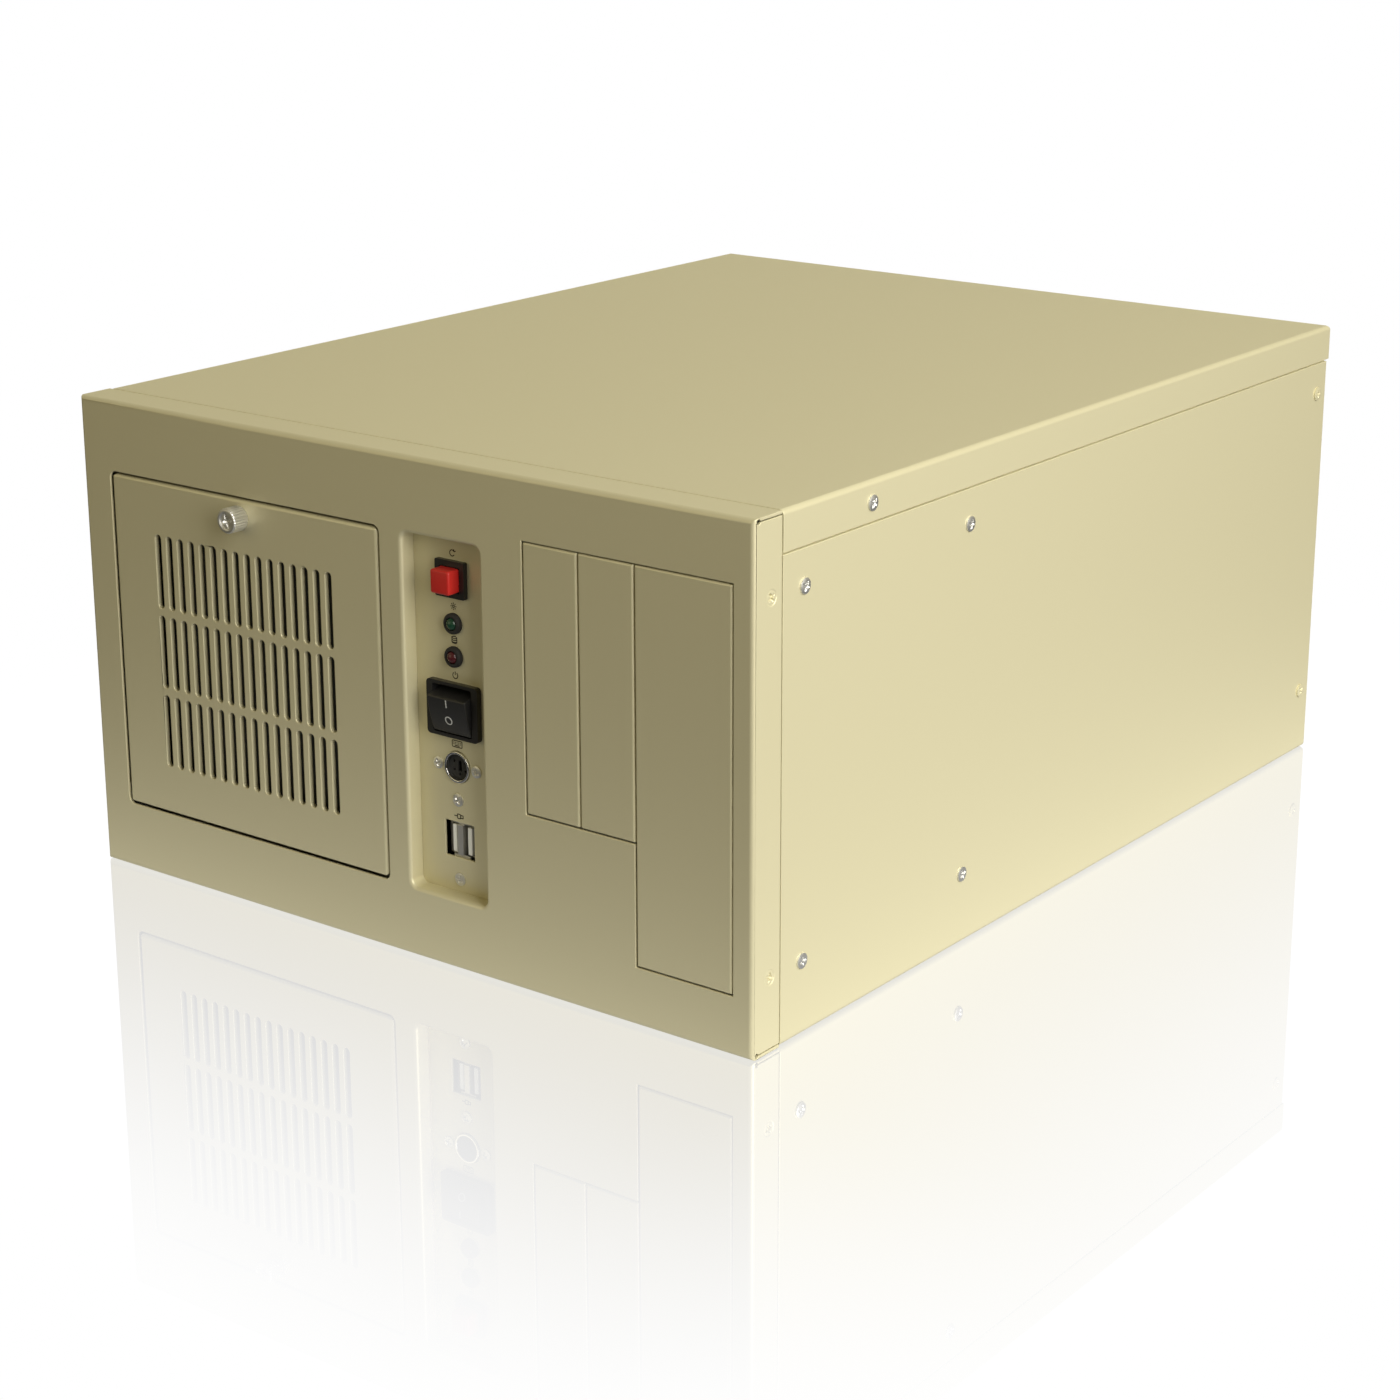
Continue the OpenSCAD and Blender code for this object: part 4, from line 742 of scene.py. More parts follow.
def cross_recess(x, y, radius, arm, taper, wall, reach, end):
    """Share of a cross recess's depth at (x, y), from 0 to 1: (arm - taper along - across) / wall
    times (reach - along) / end, where along and across are the larger and the smaller of |x| and
    |y|, and every measure is a share of the radius."""
    across, along = np.sort(np.abs([x, y]) / radius, axis=0)
    flank = (arm - taper * along - across) / wall
    return np.clip(flank, 0, 1) * np.clip((reach - along) / end, 0, 1)


def screw(head, height, shank, length, dome, flush, sides=48):
    """Cross-recess screw with its head's top at z = 0, pointing to -Z.

    The head's top falls by dome * height * (r / head)^2 and sinks at its cross recess. A flush
    head narrows from its rim to the shank."""
    radius = head * np.linspace(0, 1, 17)[:, None]
    angle = np.linspace(0, TURN, sides, endpoint=False)[None, :]
    x, y = radius * np.cos(angle), radius * np.sin(angle)
    sink = 0.75 * height * cross_recess(x, y, head, 0.25, 1 / 7, 0.07, 0.7, 0.3)
    top = np.stack([x, y, -dome * height * (radius / head) ** 2 - sink], -1)
    under = -dome * height if flush else -height
    tip = 0.4 * shank
    wall = [(head, under), (shank, -height), (shank, -length), (shank - tip, -length - tip),
            (0, -length - tip)]
    r, z = np.array(wall).T[:, :, None]
    rest = np.stack([r * np.cos(angle), r * np.sin(angle), z + 0 * angle], -1)
    return lofted(np.concatenate([top, rest]), ends=False)


# Each group of screws: finish, facing, head radius, head height, shank radius, length, flush
SCREWS = {
    "side_screws": ("bright_zinc", "side", 2.9, 1.0, 1.5, 6.8, False),
    "front_cover_screws": ("beige_paint", "side", 2.9, 1.2, 1.5, 6.8, True),
    "rear_panel_screws": ("beige_paint", "side", 2.9, 1.0, 1.5, 3.5, False),
    "lid_screws": ("bright_zinc", "lid", 2.9, 1.0, 1.5, 6.8, False),
    "front_fan_screws": ("bright_zinc", "front", 2.9, 1.8, 1.5, 13.2, False),
    "keyboard_socket_screws": ("bright_zinc", "front", 2.3, 0.8, 1.2, 5.4, False),
    "usb_screws": ("bright_zinc", "front", 2.5, 0.8, 1.2, 5.4, False),
    "drive_screws": ("bright_zinc", "up", 2.9, 1.8, 1.5, 6.2, False),
    "slot_screws": ("bright_zinc", "up", 2.9, 1.8, 1.5, 6.2, False),
    "psu_screws": ("bright_zinc", "rear", 2.9, 1.6, 1.5, 6.0, False),
}


def screw_facing(rule, low, high):
    """Which way a screw's head faces: by rule, or outwards from the side that it is on."""
    if rule == "lid" and high[1] - low[1] > high[0] - low[0]:
        return "rear"
    if rule in ("side", "lid"):
        return "right" if low[0] > 0 else "left"
    return rule


class CASE_OT_screws(CasePart):
    """Every case screw, with a domed or flush head and a cross recess"""

    bl_idname = "case.screws"
    bl_label = "Screws"

    def make(self, sizes):
        for group, (node, row) in enumerate(SCREWS.items()):
            slot, rule, head, height, shank, length, flush = row
            dome = 0.2 if flush else 0.4
            one = screw(head * MM, height * MM, shank * MM, length * MM, dome, flush)
            shapes = []
            for number, (low, high) in enumerate(solids(node)):
                facing = screw_facing(rule, low, high)
                outward = np.array(FACING[facing][2])
                at = np.where(outward > 0, high, np.where(outward < 0, low, (low + high) / 2))
                shapes.append(placed(one, at, facing, 0.9 * number + group))
            piece(node + "_set", shapes, slot, BODY_OF[node], (node,))


class CASE_OT_thumb_screw(CasePart):
    """Thumb screw that holds the door, and its spring clip"""

    bl_idname = "case.thumb_screw"
    bl_label = "Thumb screw"

    def make(self, sizes):
        pivot = anchor("door_screw_turn")
        self.knob(sizes.knurls, pivot)
        low, high = corners("thumb_screw_clip")
        outer = (high[0] - low[0]) / 2
        thick = high[1] - low[1]
        bore, edge = 0.62 * outer, 0.1 * MM
        ring = [(bore, 0), *rounded((outer - edge, 0), (outer, edge)), (outer, thick - edge),
                (outer - edge, thick), (bore, thick), (bore, 0)]
        at = (pivot[0], high[1], pivot[2])
        piece("door_clip", [placed(turned(ring), at, "front")], "spring_clip", "door_screw",
              ("thumb_screw_clip",))

    def knob(self, knurls, pivot):
        """Knurled head and shank: the radius falls by groove * |sin(knurls a / 2)| along the grip,
        and the front is sunk inside a rim, with a cross recess as a screw has."""
        low, high = corners("thumb_screw")
        radius, length, tip = (high[0] - low[0]) / 2, pivot[1] - low[1], pivot[1] - high[1]
        shank, point, gap = 2.0 * MM, 0.4 * MM, 0.12 * MM
        rim, chamfer, sink, groove, recess = 1.1 * MM, 0.5 * MM, 0.7 * MM, 0.28 * MM, 1.6 * MM
        inner = radius - rim - 0.4 * MM
        stem = [(0, tip), (shank - point, tip), (shank, tip + point), (shank, gap),
                (radius - chamfer, gap)]
        grip = [(radius, gap + chamfer), (radius, length - chamfer)]
        crown = [(radius - chamfer, length - 0.05 * MM), (radius - chamfer - 0.2 * MM, length),
                 (inner + 0.2 * MM, length), (inner + 0.05 * MM, length - 0.15 * MM),
                 (inner, length - sink)]
        r, z = np.array(stem + grip + crown).T[:, :, None]
        angle = np.linspace(0, TURN, knurls * 4, endpoint=False)[None, :]
        r = np.repeat(r, knurls * 4, axis=1)
        r[len(stem):len(stem) + len(grip)] -= groove * abs(np.sin(knurls * angle / 2))
        outside = np.stack([r * np.cos(angle), r * np.sin(angle), z + 0 * angle], -1)
        ring = inner * np.linspace(1, 0, 14)[1:, None]
        x, y = ring * np.cos(angle), ring * np.sin(angle)
        depth = recess * cross_recess(x, y, inner, 0.26, 0.1, 0.1, 0.8, 0.25)
        floor = np.stack([x, y, length - sink - depth], -1)
        shape = lofted(np.concatenate([outside, floor]), ends=False)
        piece("door_thumb_screw", [placed(shape, pivot, "front", 0.35)], "bright_zinc",
              "door_screw", ("thumb_screw",), 30)


class CASE_OT_hinge_hardware(CasePart):
    """Hinge pins of the door and the standoff that its screw enters"""

    bl_idname = "case.hinge_hardware"
    bl_label = "Hinge hardware"

    def make(self, sizes):
        shapes = []
        edge = 0.25 * MM
        for low, high in solids("door_hinge_pins"):
            radius, length = (high[2] - low[2]) / 2, high[0] - low[0]
            pin = turned([(0, 0), *rounded((radius - edge, 0), (radius, edge)),
                          (radius, length - edge), (radius - edge, length), (0, length)], 32)
            at = (low[0], (low[1] + high[1]) / 2, (low[2] + high[2]) / 2)
            shapes.append(placed(pin, at, "right"))
        piece("hinge_pins", shapes, "bright_zinc", "chassis", ("door_hinge_pins",))
        low, high = corners("door_standoff")
        radius, length = (high[0] - low[0]) / 2, high[1] - low[1]
        edge, bore, floor = 0.4 * MM, 2.3 * MM, length - 6 * MM
        post = turned([(0, 0), (radius, 0), (radius, length - edge), (radius - edge, length),
                       (bore + edge, length), (bore, length - edge), (bore, floor), (0, floor)])
        at = (middle("door_standoff")[0], high[1], middle("door_standoff")[2])
        piece("standoff", [placed(post, at, "front")], "bright_zinc", "chassis", ("door_standoff",))


class CASE_OT_filter_foam(CasePart):
    """Dust filter: a foam pad with soft edges and an uneven open-cell face"""

    bl_idname = "case.filter_foam"
    bl_label = "Filter foam"

    def make(self, sizes):
        """The pad's half thickness is its depth's half times 0.9, less up to 0.03 at random, times
        1 - max(|u|, |v|)^24, where u and v run from -1 to 1 across it."""
        low, high = corners("filter_foam")
        width, depth, height = high - low
        u, v = np.meshgrid(np.linspace(-1, 1, 121), np.linspace(-1, 1, 111), indexing="ij")
        edge = 1 - np.maximum(abs(u), abs(v)) ** 24
        random = np.random.default_rng(7)
        swell = 0.5 * depth * (0.9 - 0.03 * random.random(u.shape)) * edge
        x, z = u * width / 2, v * height / 2
        front = np.stack([x, -swell, z], -1)
        back = np.stack([x, swell, z], -1)
        rows, cols = u.shape
        index = np.arange(rows * cols).reshape(rows, cols)
        cell = np.stack([index[:-1, :-1], index[1:, :-1], index[1:, 1:], index[:-1, 1:]], -1)
        cell = cell.reshape(-1, 4)
        points = np.concatenate([front.reshape(-1, 3), back.reshape(-1, 3)]) + (low + high) / 2
        pad = piece("filter_pad", [(points, [cell, cell[:, ::-1] + rows * cols])], "foam", "chassis",
                    ("filter_foam",), 60)


def fan_wheel(hub, tip, depth, count, pitch=(50, 24), thick=1.5 * MM):
    """Hub and blades round +Z, from z = 0 to depth.

    A blade's section is an ellipse along its chord, cambered by (1 - 4 along^2), tilted by the
    pitch, which falls from hub to tip, and wrapped round the axis at each radius."""
    cap = turned([(0, 0), (hub, 0), *rounded((hub, depth - 1.2 * MM), (hub - 1.2 * MM, depth)),
                  (0, depth)])
    share = np.linspace(0, 1, 12)[:, None]
    turn = np.linspace(0, TURN, 28, endpoint=False)[None, :]
    radius = hub - 0.6 * MM + (tip - hub + 0.6 * MM) * share
    tilt = np.radians(pitch[0] + (pitch[1] - pitch[0]) * share)
    chord = np.minimum((depth - 2 * MM - thick) / np.sin(tilt), TURN * radius / count * 0.96)
    along = np.cos(turn) / 2
    across = thick / 2 * np.sin(turn) + 0.07 * chord * (1 - 4 * along ** 2)
    angle = 0.35 * share + (chord * along * np.cos(tilt) - across * np.sin(tilt)) / radius
    z = depth / 2 + chord * along * np.sin(tilt) + across * np.cos(tilt)
    z = np.clip(z, 0.6 * MM, depth - 0.6 * MM)
    shapes = [cap]
    for k in range(count):
        at = angle + TURN * k / count
        shapes.append(lofted(np.stack([radius * np.cos(at), radius * np.sin(at), z], -1)))
    return shapes


class CASE_OT_fans(CasePart):
    """Front fan and the power supply's fan: frames, wheels and the wire guard"""

    bl_idname = "case.fans"
    bl_label = "Fans"

    def make(self, sizes):
        coated("front_fan_frame", "black_plastic")
        self.wheel("front_fan", "front", sizes.front_hub, 20.5 * MM, sizes.blades)
        self.wheel("psu_fan", "rear", sizes.psu_hub, 18 * MM, sizes.blades)
        self.guard()

    def wheel(self, fan, facing, hub, depth, blades):
        """Hub, blades and shaft of one fan, its hub's end level with the CAD wheel's."""
        low, high = corners(fan + "_rotor")
        pivot = anchor(fan + "_spin")
        tip = (high[0] - low[0]) / 2 - 0.1 * MM
        shaft, end = 2 * MM, -3.4 * MM
        shapes = fan_wheel(hub, tip, depth, blades)
        shapes.append(turned([(0, end), (shaft, end), (shaft, 0), (0, 0)], 24))
        at = (pivot[0], low[1] + depth if facing == "front" else high[1] - depth, pivot[2])
        piece(fan + "_wheel", [placed(shape, at, facing) for shape in shapes], "black_plastic",
              fan, (fan + "_rotor",))

    def guard(self):
        """Wire guard: rings of round wire welded to two bars across them."""
        low, high = corners("psu_fan_guard")
        wire = (high[1] - low[1]) / 2
        outer = (high[0] - low[0]) / 2 - wire
        at = (low + high) / 2
        shapes = []
        for radius in np.linspace(10 * MM, outer, 5):
            path = np.insert(circle(radius, 96), 2, 0.0, axis=1)
            shapes.append(placed(swept(circle(wire * 0.98, 10), path, True), at, "rear"))
        reach = np.linspace(-outer, outer, 12)
        for turn in (math.pi / 4, 3 * math.pi / 4):
            bar = np.stack([reach * math.cos(turn), reach * math.sin(turn), 0 * reach], 1)
            shapes.append(placed(swept(circle(wire * 0.8, 10), bar), at, "rear"))
        piece("fan_guard", shapes, "chrome_shell", "chassis", ("psu_fan_guard",))


# ---------- printed marks ----------

def stroke(points, line, closed=False, thick=0.04 * MM):
    """Flat printed line of a width along points in a plane, standing a hair off it."""
    half = line / 2
    section = np.array([(-half, 0), (half, 0), (half, thick), (-half, thick)])
    return swept(section, np.insert(np.array(points, float), 2, 0.0, axis=1), closed)


def arc(radius, start, stop, at=(0.0, 0.0), squash=1.0, steps=24):
    """Points of an arc, its angles in degrees."""
    angle = np.radians(np.linspace(start, stop, steps))
    return np.stack([at[0] + radius * np.cos(angle), at[1] + radius * squash * np.sin(angle)], 1)


def straight(start, stop):
    """Points of a short straight line."""
    return np.linspace(start, stop, 3)


def reset_mark(line):
    """Arrow that turns back on itself."""
    r = 1.15 * MM
    tip = arc(r, 30, 30, steps=1)[0]
    return [stroke(arc(r, 30, 330), line),
            stroke(straight(tip, tip + np.array([0.75, 0.35]) * MM), line),
            stroke(straight(tip, tip + np.array([-0.2, 0.9]) * MM), line)]


def power_lamp_mark(line):
    """Dot with rays."""
    rays = [stroke(np.outer(np.linspace(0.9, 1.4, 3) * MM, (math.cos(a), math.sin(a))), line)
            for a in np.arange(8) * math.pi / 4]
    return [stroke(circle(0.45 * MM, 20), line, True), *rays]


def disk_mark(line):
    """Drum of stacked plates."""
    r, squash = 1.2 * MM, 0.35
    lows = [stroke(arc(r, 180, 360, (0, y * MM), squash), line) for y in (0.1, -0.65, -1.0)]
    sides = [stroke(straight((s * r, 0.8 * MM), (s * r, -1.0 * MM)), line) for s in (-1, 1)]
    return [stroke(arc(r, 0, 345, (0, 0.8 * MM), squash), line, True), *lows, *sides]


def power_mark(line):
    """Open ring with an upright line in its gap."""
    return [stroke(arc(1.2 * MM, 125, 415), line),
            stroke(straight((0, 0.1 * MM), (0, 1.5 * MM)), line)]


def keyboard_mark(line):
    """Keyboard: an outline, two rows of keys and a bar."""
    keys = [stroke(straight((x * MM - line / 2, y * MM), (x * MM + line / 2, y * MM)), line)
            for x in (-1.6, -0.8, 0, 0.8, 1.6) for y in (0.55, -0.05)]
    return [stroke(rounded_loop(4.8 * MM, 2.5 * MM, 0.4 * MM), line, True),
            stroke(straight((-1.1 * MM, -0.65 * MM), (1.1 * MM, -0.65 * MM)), line), *keys]


def plug_mark(line):
    """Plug: a body, a shell and its lead."""
    return [stroke(rounded_loop(1.5 * MM, 1.7 * MM, 0.2 * MM), line, True),
            stroke(rounded_loop(1.3 * MM, 1.1 * MM, 0.15 * MM) + np.array([1.4 * MM, 0]), line, True),
            stroke(straight((-0.75 * MM, 0), (-2.3 * MM, 0)), line)]


class CASE_OT_printed_marks(CasePart):
    """Small printed signs above the controls"""

    bl_idname = "case.printed_marks"
    bl_label = "Printed marks"

    def make(self, sizes):
        face = corners("control_panel")[0][1]
        lamp_tops = sorted((high[2] for _, high in solids("lamp_holders")), reverse=True)
        usb_top = middle("usb_tongues")[2] + 7 * MM
        rows = {
            "reset_sign": (reset_mark, corners("reset_switch_body")[1][2]),
            "power_lamp_sign": (power_lamp_mark, lamp_tops[0]),
            "disk_lamp_sign": (disk_mark, lamp_tops[1]),
            "power_sign": (power_mark, corners("power_switch_body")[1][2]),
            "keyboard_sign": (keyboard_mark, corners("keyboard_socket_shell")[1][2]),
            "usb_sign": (plug_mark, usb_top),
        }
        x = middle("control_panel")[0]
        for name, (mark, top) in rows.items():
            at = (x, face, top + sizes.print_gap + 1.2 * MM)
            piece(name, [placed(shape, at, "front") for shape in mark(sizes.print_line)], "ink",
                  "chassis")


# ---------- controls ----------

class CASE_OT_reset_switch(CasePart):
    """Reset button: housing and red cap"""

    bl_idname = "case.reset_switch"
    bl_label = "Reset switch"

    def make(self, sizes):
        softened("reset_switch_body", "black_switch", 0.3 * MM, 3, clamp=True)
        low, high = corners("reset_button")
        width, depth, height = high - low
        at = middle("reset_button")
        stem, reach = 3.0 * MM, 8 * MM
        cap_depth = depth - reach
        cap = block(width, height, cap_depth, 0.9 * MM, 0.8 * MM, 5)
        rod = turned([(0, 0), (stem, 0), (stem, reach), (0, reach)], 32)
        piece("reset_cap", [placed(cap, (at[0], low[1] + cap_depth, at[2]), "front"),
                            placed(rod, (at[0], high[1], at[2]), "front")], "red_cap", "reset",
              ("reset_button",))


class CASE_OT_lamps(CasePart):
    """Power and disk lamps, with their holders and legs"""

    bl_idname = "case.lamps"
    bl_label = "Lamps"

    def make(self, sizes):
        face = corners("control_panel")[0][1]
        shapes = []
        for low, high in solids("lamp_holders"):
            outer = (high[0] - low[0]) / 2
            depth, back = face - low[1], high[1] - face
            bore, barrel, rim = 2.52 * MM, 3.3 * MM, 0.9 * MM
            ring = [(bore, -back), (barrel, -back), (barrel, 0), (outer, 0), (outer, rim),
                    *rounded((outer, rim), (bore + 0.35 * MM, depth), 6),
                    (bore, depth - 0.15 * MM), (bore, -back)]
            at = ((low[0] + high[0]) / 2, face, (low[2] + high[2]) / 2)
            shapes.append(placed(turned(ring, 64), at, "front"))
        piece("lamp_rings", shapes, "black_plastic", "chassis", ("lamp_holders",))
        for node, slot in (("power_lamp", "green_lens"), ("disk_lamp", "red_lens")):
            low, high = corners(node)
            radius = (high[0] - low[0]) / 2
            top, base = face - low[1], -5 * MM
            dome = [(0, base), (radius, base), (radius, top - radius),
                    *[(radius * math.cos(a), top - radius + radius * math.sin(a))
                      for a in np.linspace(0, math.pi / 2, 12)]]
            at = np.array((middle(node)[0], face, middle(node)[2]))
            leg = block(0.5 * MM, 0.5 * MM, 9 * MM, 0.1 * MM, 0.05 * MM)
            legs = [placed(leg, at + (s * 1.27 * MM, 14 * MM, 0), "front") for s in (-1, 1)]
            piece(node + "_lens", [placed(turned(dome, 48), at, "front"), *legs], slot, "chassis",
                  (node,))


def foremost(node, heights):
    """Smallest y of a node's outline at each height: the least of the straight lines between any
    two of its points that span that height."""
    points, _ = merged(node)
    z, y = np.unique(np.round(points[:, [2, 1]], 6), axis=0).T
    low, high = z[:, None, None], z[None, :, None]
    share = (heights - low) / np.where(high > low, high - low, np.inf)
    line = y[:, None, None] + share * (y[None, :, None] - y[:, None, None])
    spans = (high > low) & (heights >= low) & (heights <= high)
    return np.where(spans, line, np.inf).min((0, 1))


class CASE_OT_power_switch(CasePart):
    """Power switch: housing, rocker and the two signs on the rocker"""

    bl_idname = "case.power_switch"
    bl_label = "Power switch"

    def make(self, sizes):
        softened("power_switch_body", "black_switch", 0.3 * MM, 3, clamp=True)
        softened("power_rocker", "black_switch", 0.5 * MM, 4)
        self.signs(1.5 * MM, 0.42 * MM, 0.1 * MM)

    def signs(self, radius, line, thick):
        """A bar and a ring laid on the rocker's curved face, a hair in front of it."""
        at = middle("power_rocker")
        bar = stroke(straight((0, -radius), (0, radius)), line, thick=thick)
        ring = stroke(circle(radius, 40), line, True, thick)
        shapes = []
        for mark, height in ((bar, 4.2 * MM), (ring, -2.6 * MM)):
            points, faces = placed(mark, (at[0], 0, at[2] + height), "front")
            points[:, 1] += foremost("power_rocker", points[:, 2])
            shapes.append((points, faces))
        piece("power_rocker_signs", shapes, "print_white", "power_switch")


class CASE_OT_sockets(CasePart):
    """Keyboard socket and USB ports"""

    bl_idname = "case.sockets"
    bl_label = "Sockets"

    def make(self, sizes):
        softened("keyboard_socket_shell", "chrome_shell", 0.3 * MM, 4)
        softened("keyboard_socket_insert", "black_plastic", 0.15 * MM)
        softened("usb_shell", "nickel_shell", 0.15 * MM)
        softened("usb_tongues", "white_plastic", 0.2 * MM)
        strips, contacts = [], 4
        bar = block(1.1 * MM, 8 * MM, 0.08 * MM, 0.05 * MM, 0.04 * MM)
        for low, high in solids("usb_tongues"):
            for share in (np.arange(contacts) + 0.5) / contacts:
                at = (low[0], low[1] + 5 * MM, low[2] + (high[2] - low[2]) * share)
                strips.append(placed(bar, at, "left", math.pi / 2))
        piece("usb_contacts", strips, "gold_contact", "chassis")


# ---------- inside ----------

def chip(length, width, height, pins):
    """Chip flat on z = 0: a body with a row of legs on two sides."""
    shapes = [placed(block(length, width, height * 0.8, 0.3 * MM, 0.2 * MM), (0, 0, height * 0.2))]
    pitch = length / pins
    for k in range(pins):
        x = -length / 2 + (k + 0.5) * pitch
        for s in (-1, 1):
            shapes.append(placed(block(0.45 * pitch, 1.1 * MM, height * 0.45, 0.05 * MM, 0.04 * MM, 1),
                                 (x, s * (width / 2 + 0.3 * MM), 0)))
    return shapes


def capacitor(radius, height):
    """Round can with a rolled groove near its foot."""
    return turned([(0, 0), (radius, 0), (radius, 0.12 * height), (0.86 * radius, 0.17 * height),
                   (radius, 0.22 * height), *rounded((radius, 0.94 * height), (0.9 * radius, height)),
                   (0, height)], 24)


class CASE_OT_boards(CasePart):
    """Backplane, plug-in cards and memory, with their sockets, chips and capacitors"""

    bl_idname = "case.boards"
    bl_label = "Boards and cards"

    # Card, side, then each chip: its place along and up the card as shares, its length and width
    # in millimetres and its pins a side.
    CHIPS = (
        ("cpu_card", "left", [(0.30, 0.42, 14, 9, 14), (0.14, 0.3, 12, 7, 10),
                              (0.14, 0.7, 16, 10, 14), (0.88, 0.22, 10, 6, 8)]),
        ("cpu_card", "right", [(0.25, 0.72, 18, 7, 12), (0.62, 0.75, 22, 12, 16),
                               (0.84, 0.55, 14, 8, 12), (0.62, 0.4, 12, 8, 10)]),
        ("io_card", "right", [(0.3, 0.75, 16, 8, 12), (0.7, 0.78, 20, 9, 14),
                              (0.85, 0.4, 12, 6, 10)]),
    )

    def make(self, sizes):
        for node in ("backplane", "cpu_card", "io_card", "memory_module"):
            softened(node, "circuit_board", 0.1 * MM)
        softened("backplane_sockets", "black_plastic", 0.2 * MM)
        softened("cpu_heatsink", "heatsink_aluminium", 0.12 * MM)
        self.spacers()
        for node, side, rows in self.CHIPS:
            self.card_parts(node, rows, side)

    def spacers(self):
        """Brass posts: a broad foot under the board, a neck through it and a screw head over it."""
        shapes = []
        for low, high in solids("backplane_spacers"):
            at = ((low[0] + high[0]) / 2, (low[1] + high[1]) / 2, low[2])
            height = high[2] - low[2]
            board = corners("backplane")[1][2] - low[2]
            post = board - 1.6 * MM
            foot, neck, head = 3 * MM, 1.5 * MM, 2.9 * MM
            rows = [(0, 0), (foot, 0), (foot, post), (neck, post), (neck, board), (head, board),
                    *rounded((head, board + 0.6 * MM), (1.8 * MM, height)), (0, height)]
            shapes.append(placed(turned(rows, 36), at))
        piece("board_spacers", shapes, "brass_spacer", "chassis", ("backplane_spacers",))

    def card_parts(self, node, rows, side):
        """Chips on one face of a card, and a capacitor past the end of each."""
        low, high = corners(node)
        face = low[0] if side == "left" else high[0]
        chips, cans = [], []
        for along, up, length, width, pins in rows:
            at = (face, low[1] + along * (high[1] - low[1]), low[2] + up * (high[2] - low[2]))
            shapes = chip(length * MM, width * MM, 1.6 * MM, pins)
            chips += [placed(shape, at, side) for shape in shapes]
            cans.append(placed(capacitor(1.8 * MM, 4.5 * MM),
                               (at[0], at[1] + (length / 2 + 5) * MM, at[2] + 2 * MM), side))
        piece(f"{node}_chips_{side}", chips, "black_plastic", "chassis")
        piece(f"{node}_cans_{side}", cans, "drive_aluminium", "chassis")


class CASE_OT_card_sockets(CasePart):
    """Sockets in the card brackets' windows: a metal shell, a black insert and two rows of pins"""

    bl_idname = "case.card_sockets"
    bl_label = "Card sockets"

    def make(self, sizes):
        shells, inserts, pins = [], [], []
        bracket, proud, depth = 0.8 * MM, 0.7 * MM, 4 * MM
        window_up = 55 * MM
        pitch, count = 2.6 * MM, 9
        shell = block(7.4 * MM, 29 * MM, depth, 1.6 * MM, 0.4 * MM)
        insert = block(5.4 * MM, 25 * MM, depth, 1.2 * MM, 0.3 * MM)
        pin = turned([(0, 0), (0.45 * MM, 0), (0.45 * MM, 0.25 * MM), (0, 0.35 * MM)], 10)
        front = corners("slot_covers")[0][1] + bracket + proud
        for low, high in solids("card_brackets"):
            at = np.array(((low[0] + high[0]) / 2, front, window_up))
            shells.append(placed(shell, at - (0, depth, 0), "rear"))
            inserts.append(placed(insert, at - (0, depth - 0.2 * MM, 0), "rear"))
            pins += [placed(pin, at + (x, 0.15 * MM, pitch * (k - (count - 1) / 2)), "rear")
                     for x in (-1.2 * MM, 1.2 * MM) for k in range(count)]
        piece("card_socket_shells", shells, "nickel_shell", "chassis")
        piece("card_socket_inserts", inserts, "black_plastic", "chassis")
        piece("card_socket_pins", pins, "gold_contact", "chassis")


class CASE_OT_hard_drive(CasePart):
    """Hard drive: cast body and cover"""

    bl_idname = "case.hard_drive"
    bl_label = "Hard drive"

    def make(self, sizes):
        softened("hard_drive", "drive_aluminium", 0.25 * MM)


class CASE_OT_power_supply(CasePart):
    """Power supply's inlet, switch and rocker"""

    bl_idname = "case.power_supply"
    bl_label = "Power supply"

    def make(self, sizes):
        softened("psu_inlet", "black_plastic", 0.4 * MM, 3)
        softened("psu_switch_body", "black_switch", 0.3 * MM, 3, clamp=True)
        softened("psu_rocker", "black_switch", 0.4 * MM, 3)


class CASE_OT_cables(CasePart):
    """Cable looms inside the case, smoothed round from the frame's routes"""

    bl_idname = "case.cables"
    bl_label = "Cables"

    def make(self, sizes):
        """Triangles are joined to quads along each loom, and one subdivision rounds them."""
        points, tris = merged("internal_cables")
        mesh = bpy.data.meshes.new("cable_looms")
        mesh.from_pydata(points.tolist(), [], tris.tolist())
        work = bmesh.new()
        work.from_mesh(mesh)
        bmesh.ops.join_triangles(work, faces=work.faces, angle_face_threshold=0.6,
                                 angle_shape_threshold=1.2)
        work.to_mesh(mesh)
        work.free()
        smooth(mesh, 60)
        looms = shown(mesh, "cable_sleeve", "chassis", ("internal_cables",))
        rounder = looms.modifiers.new("round", "SUBSURF")
        rounder.levels = rounder.render_levels = 1


# ---------- stage ----------

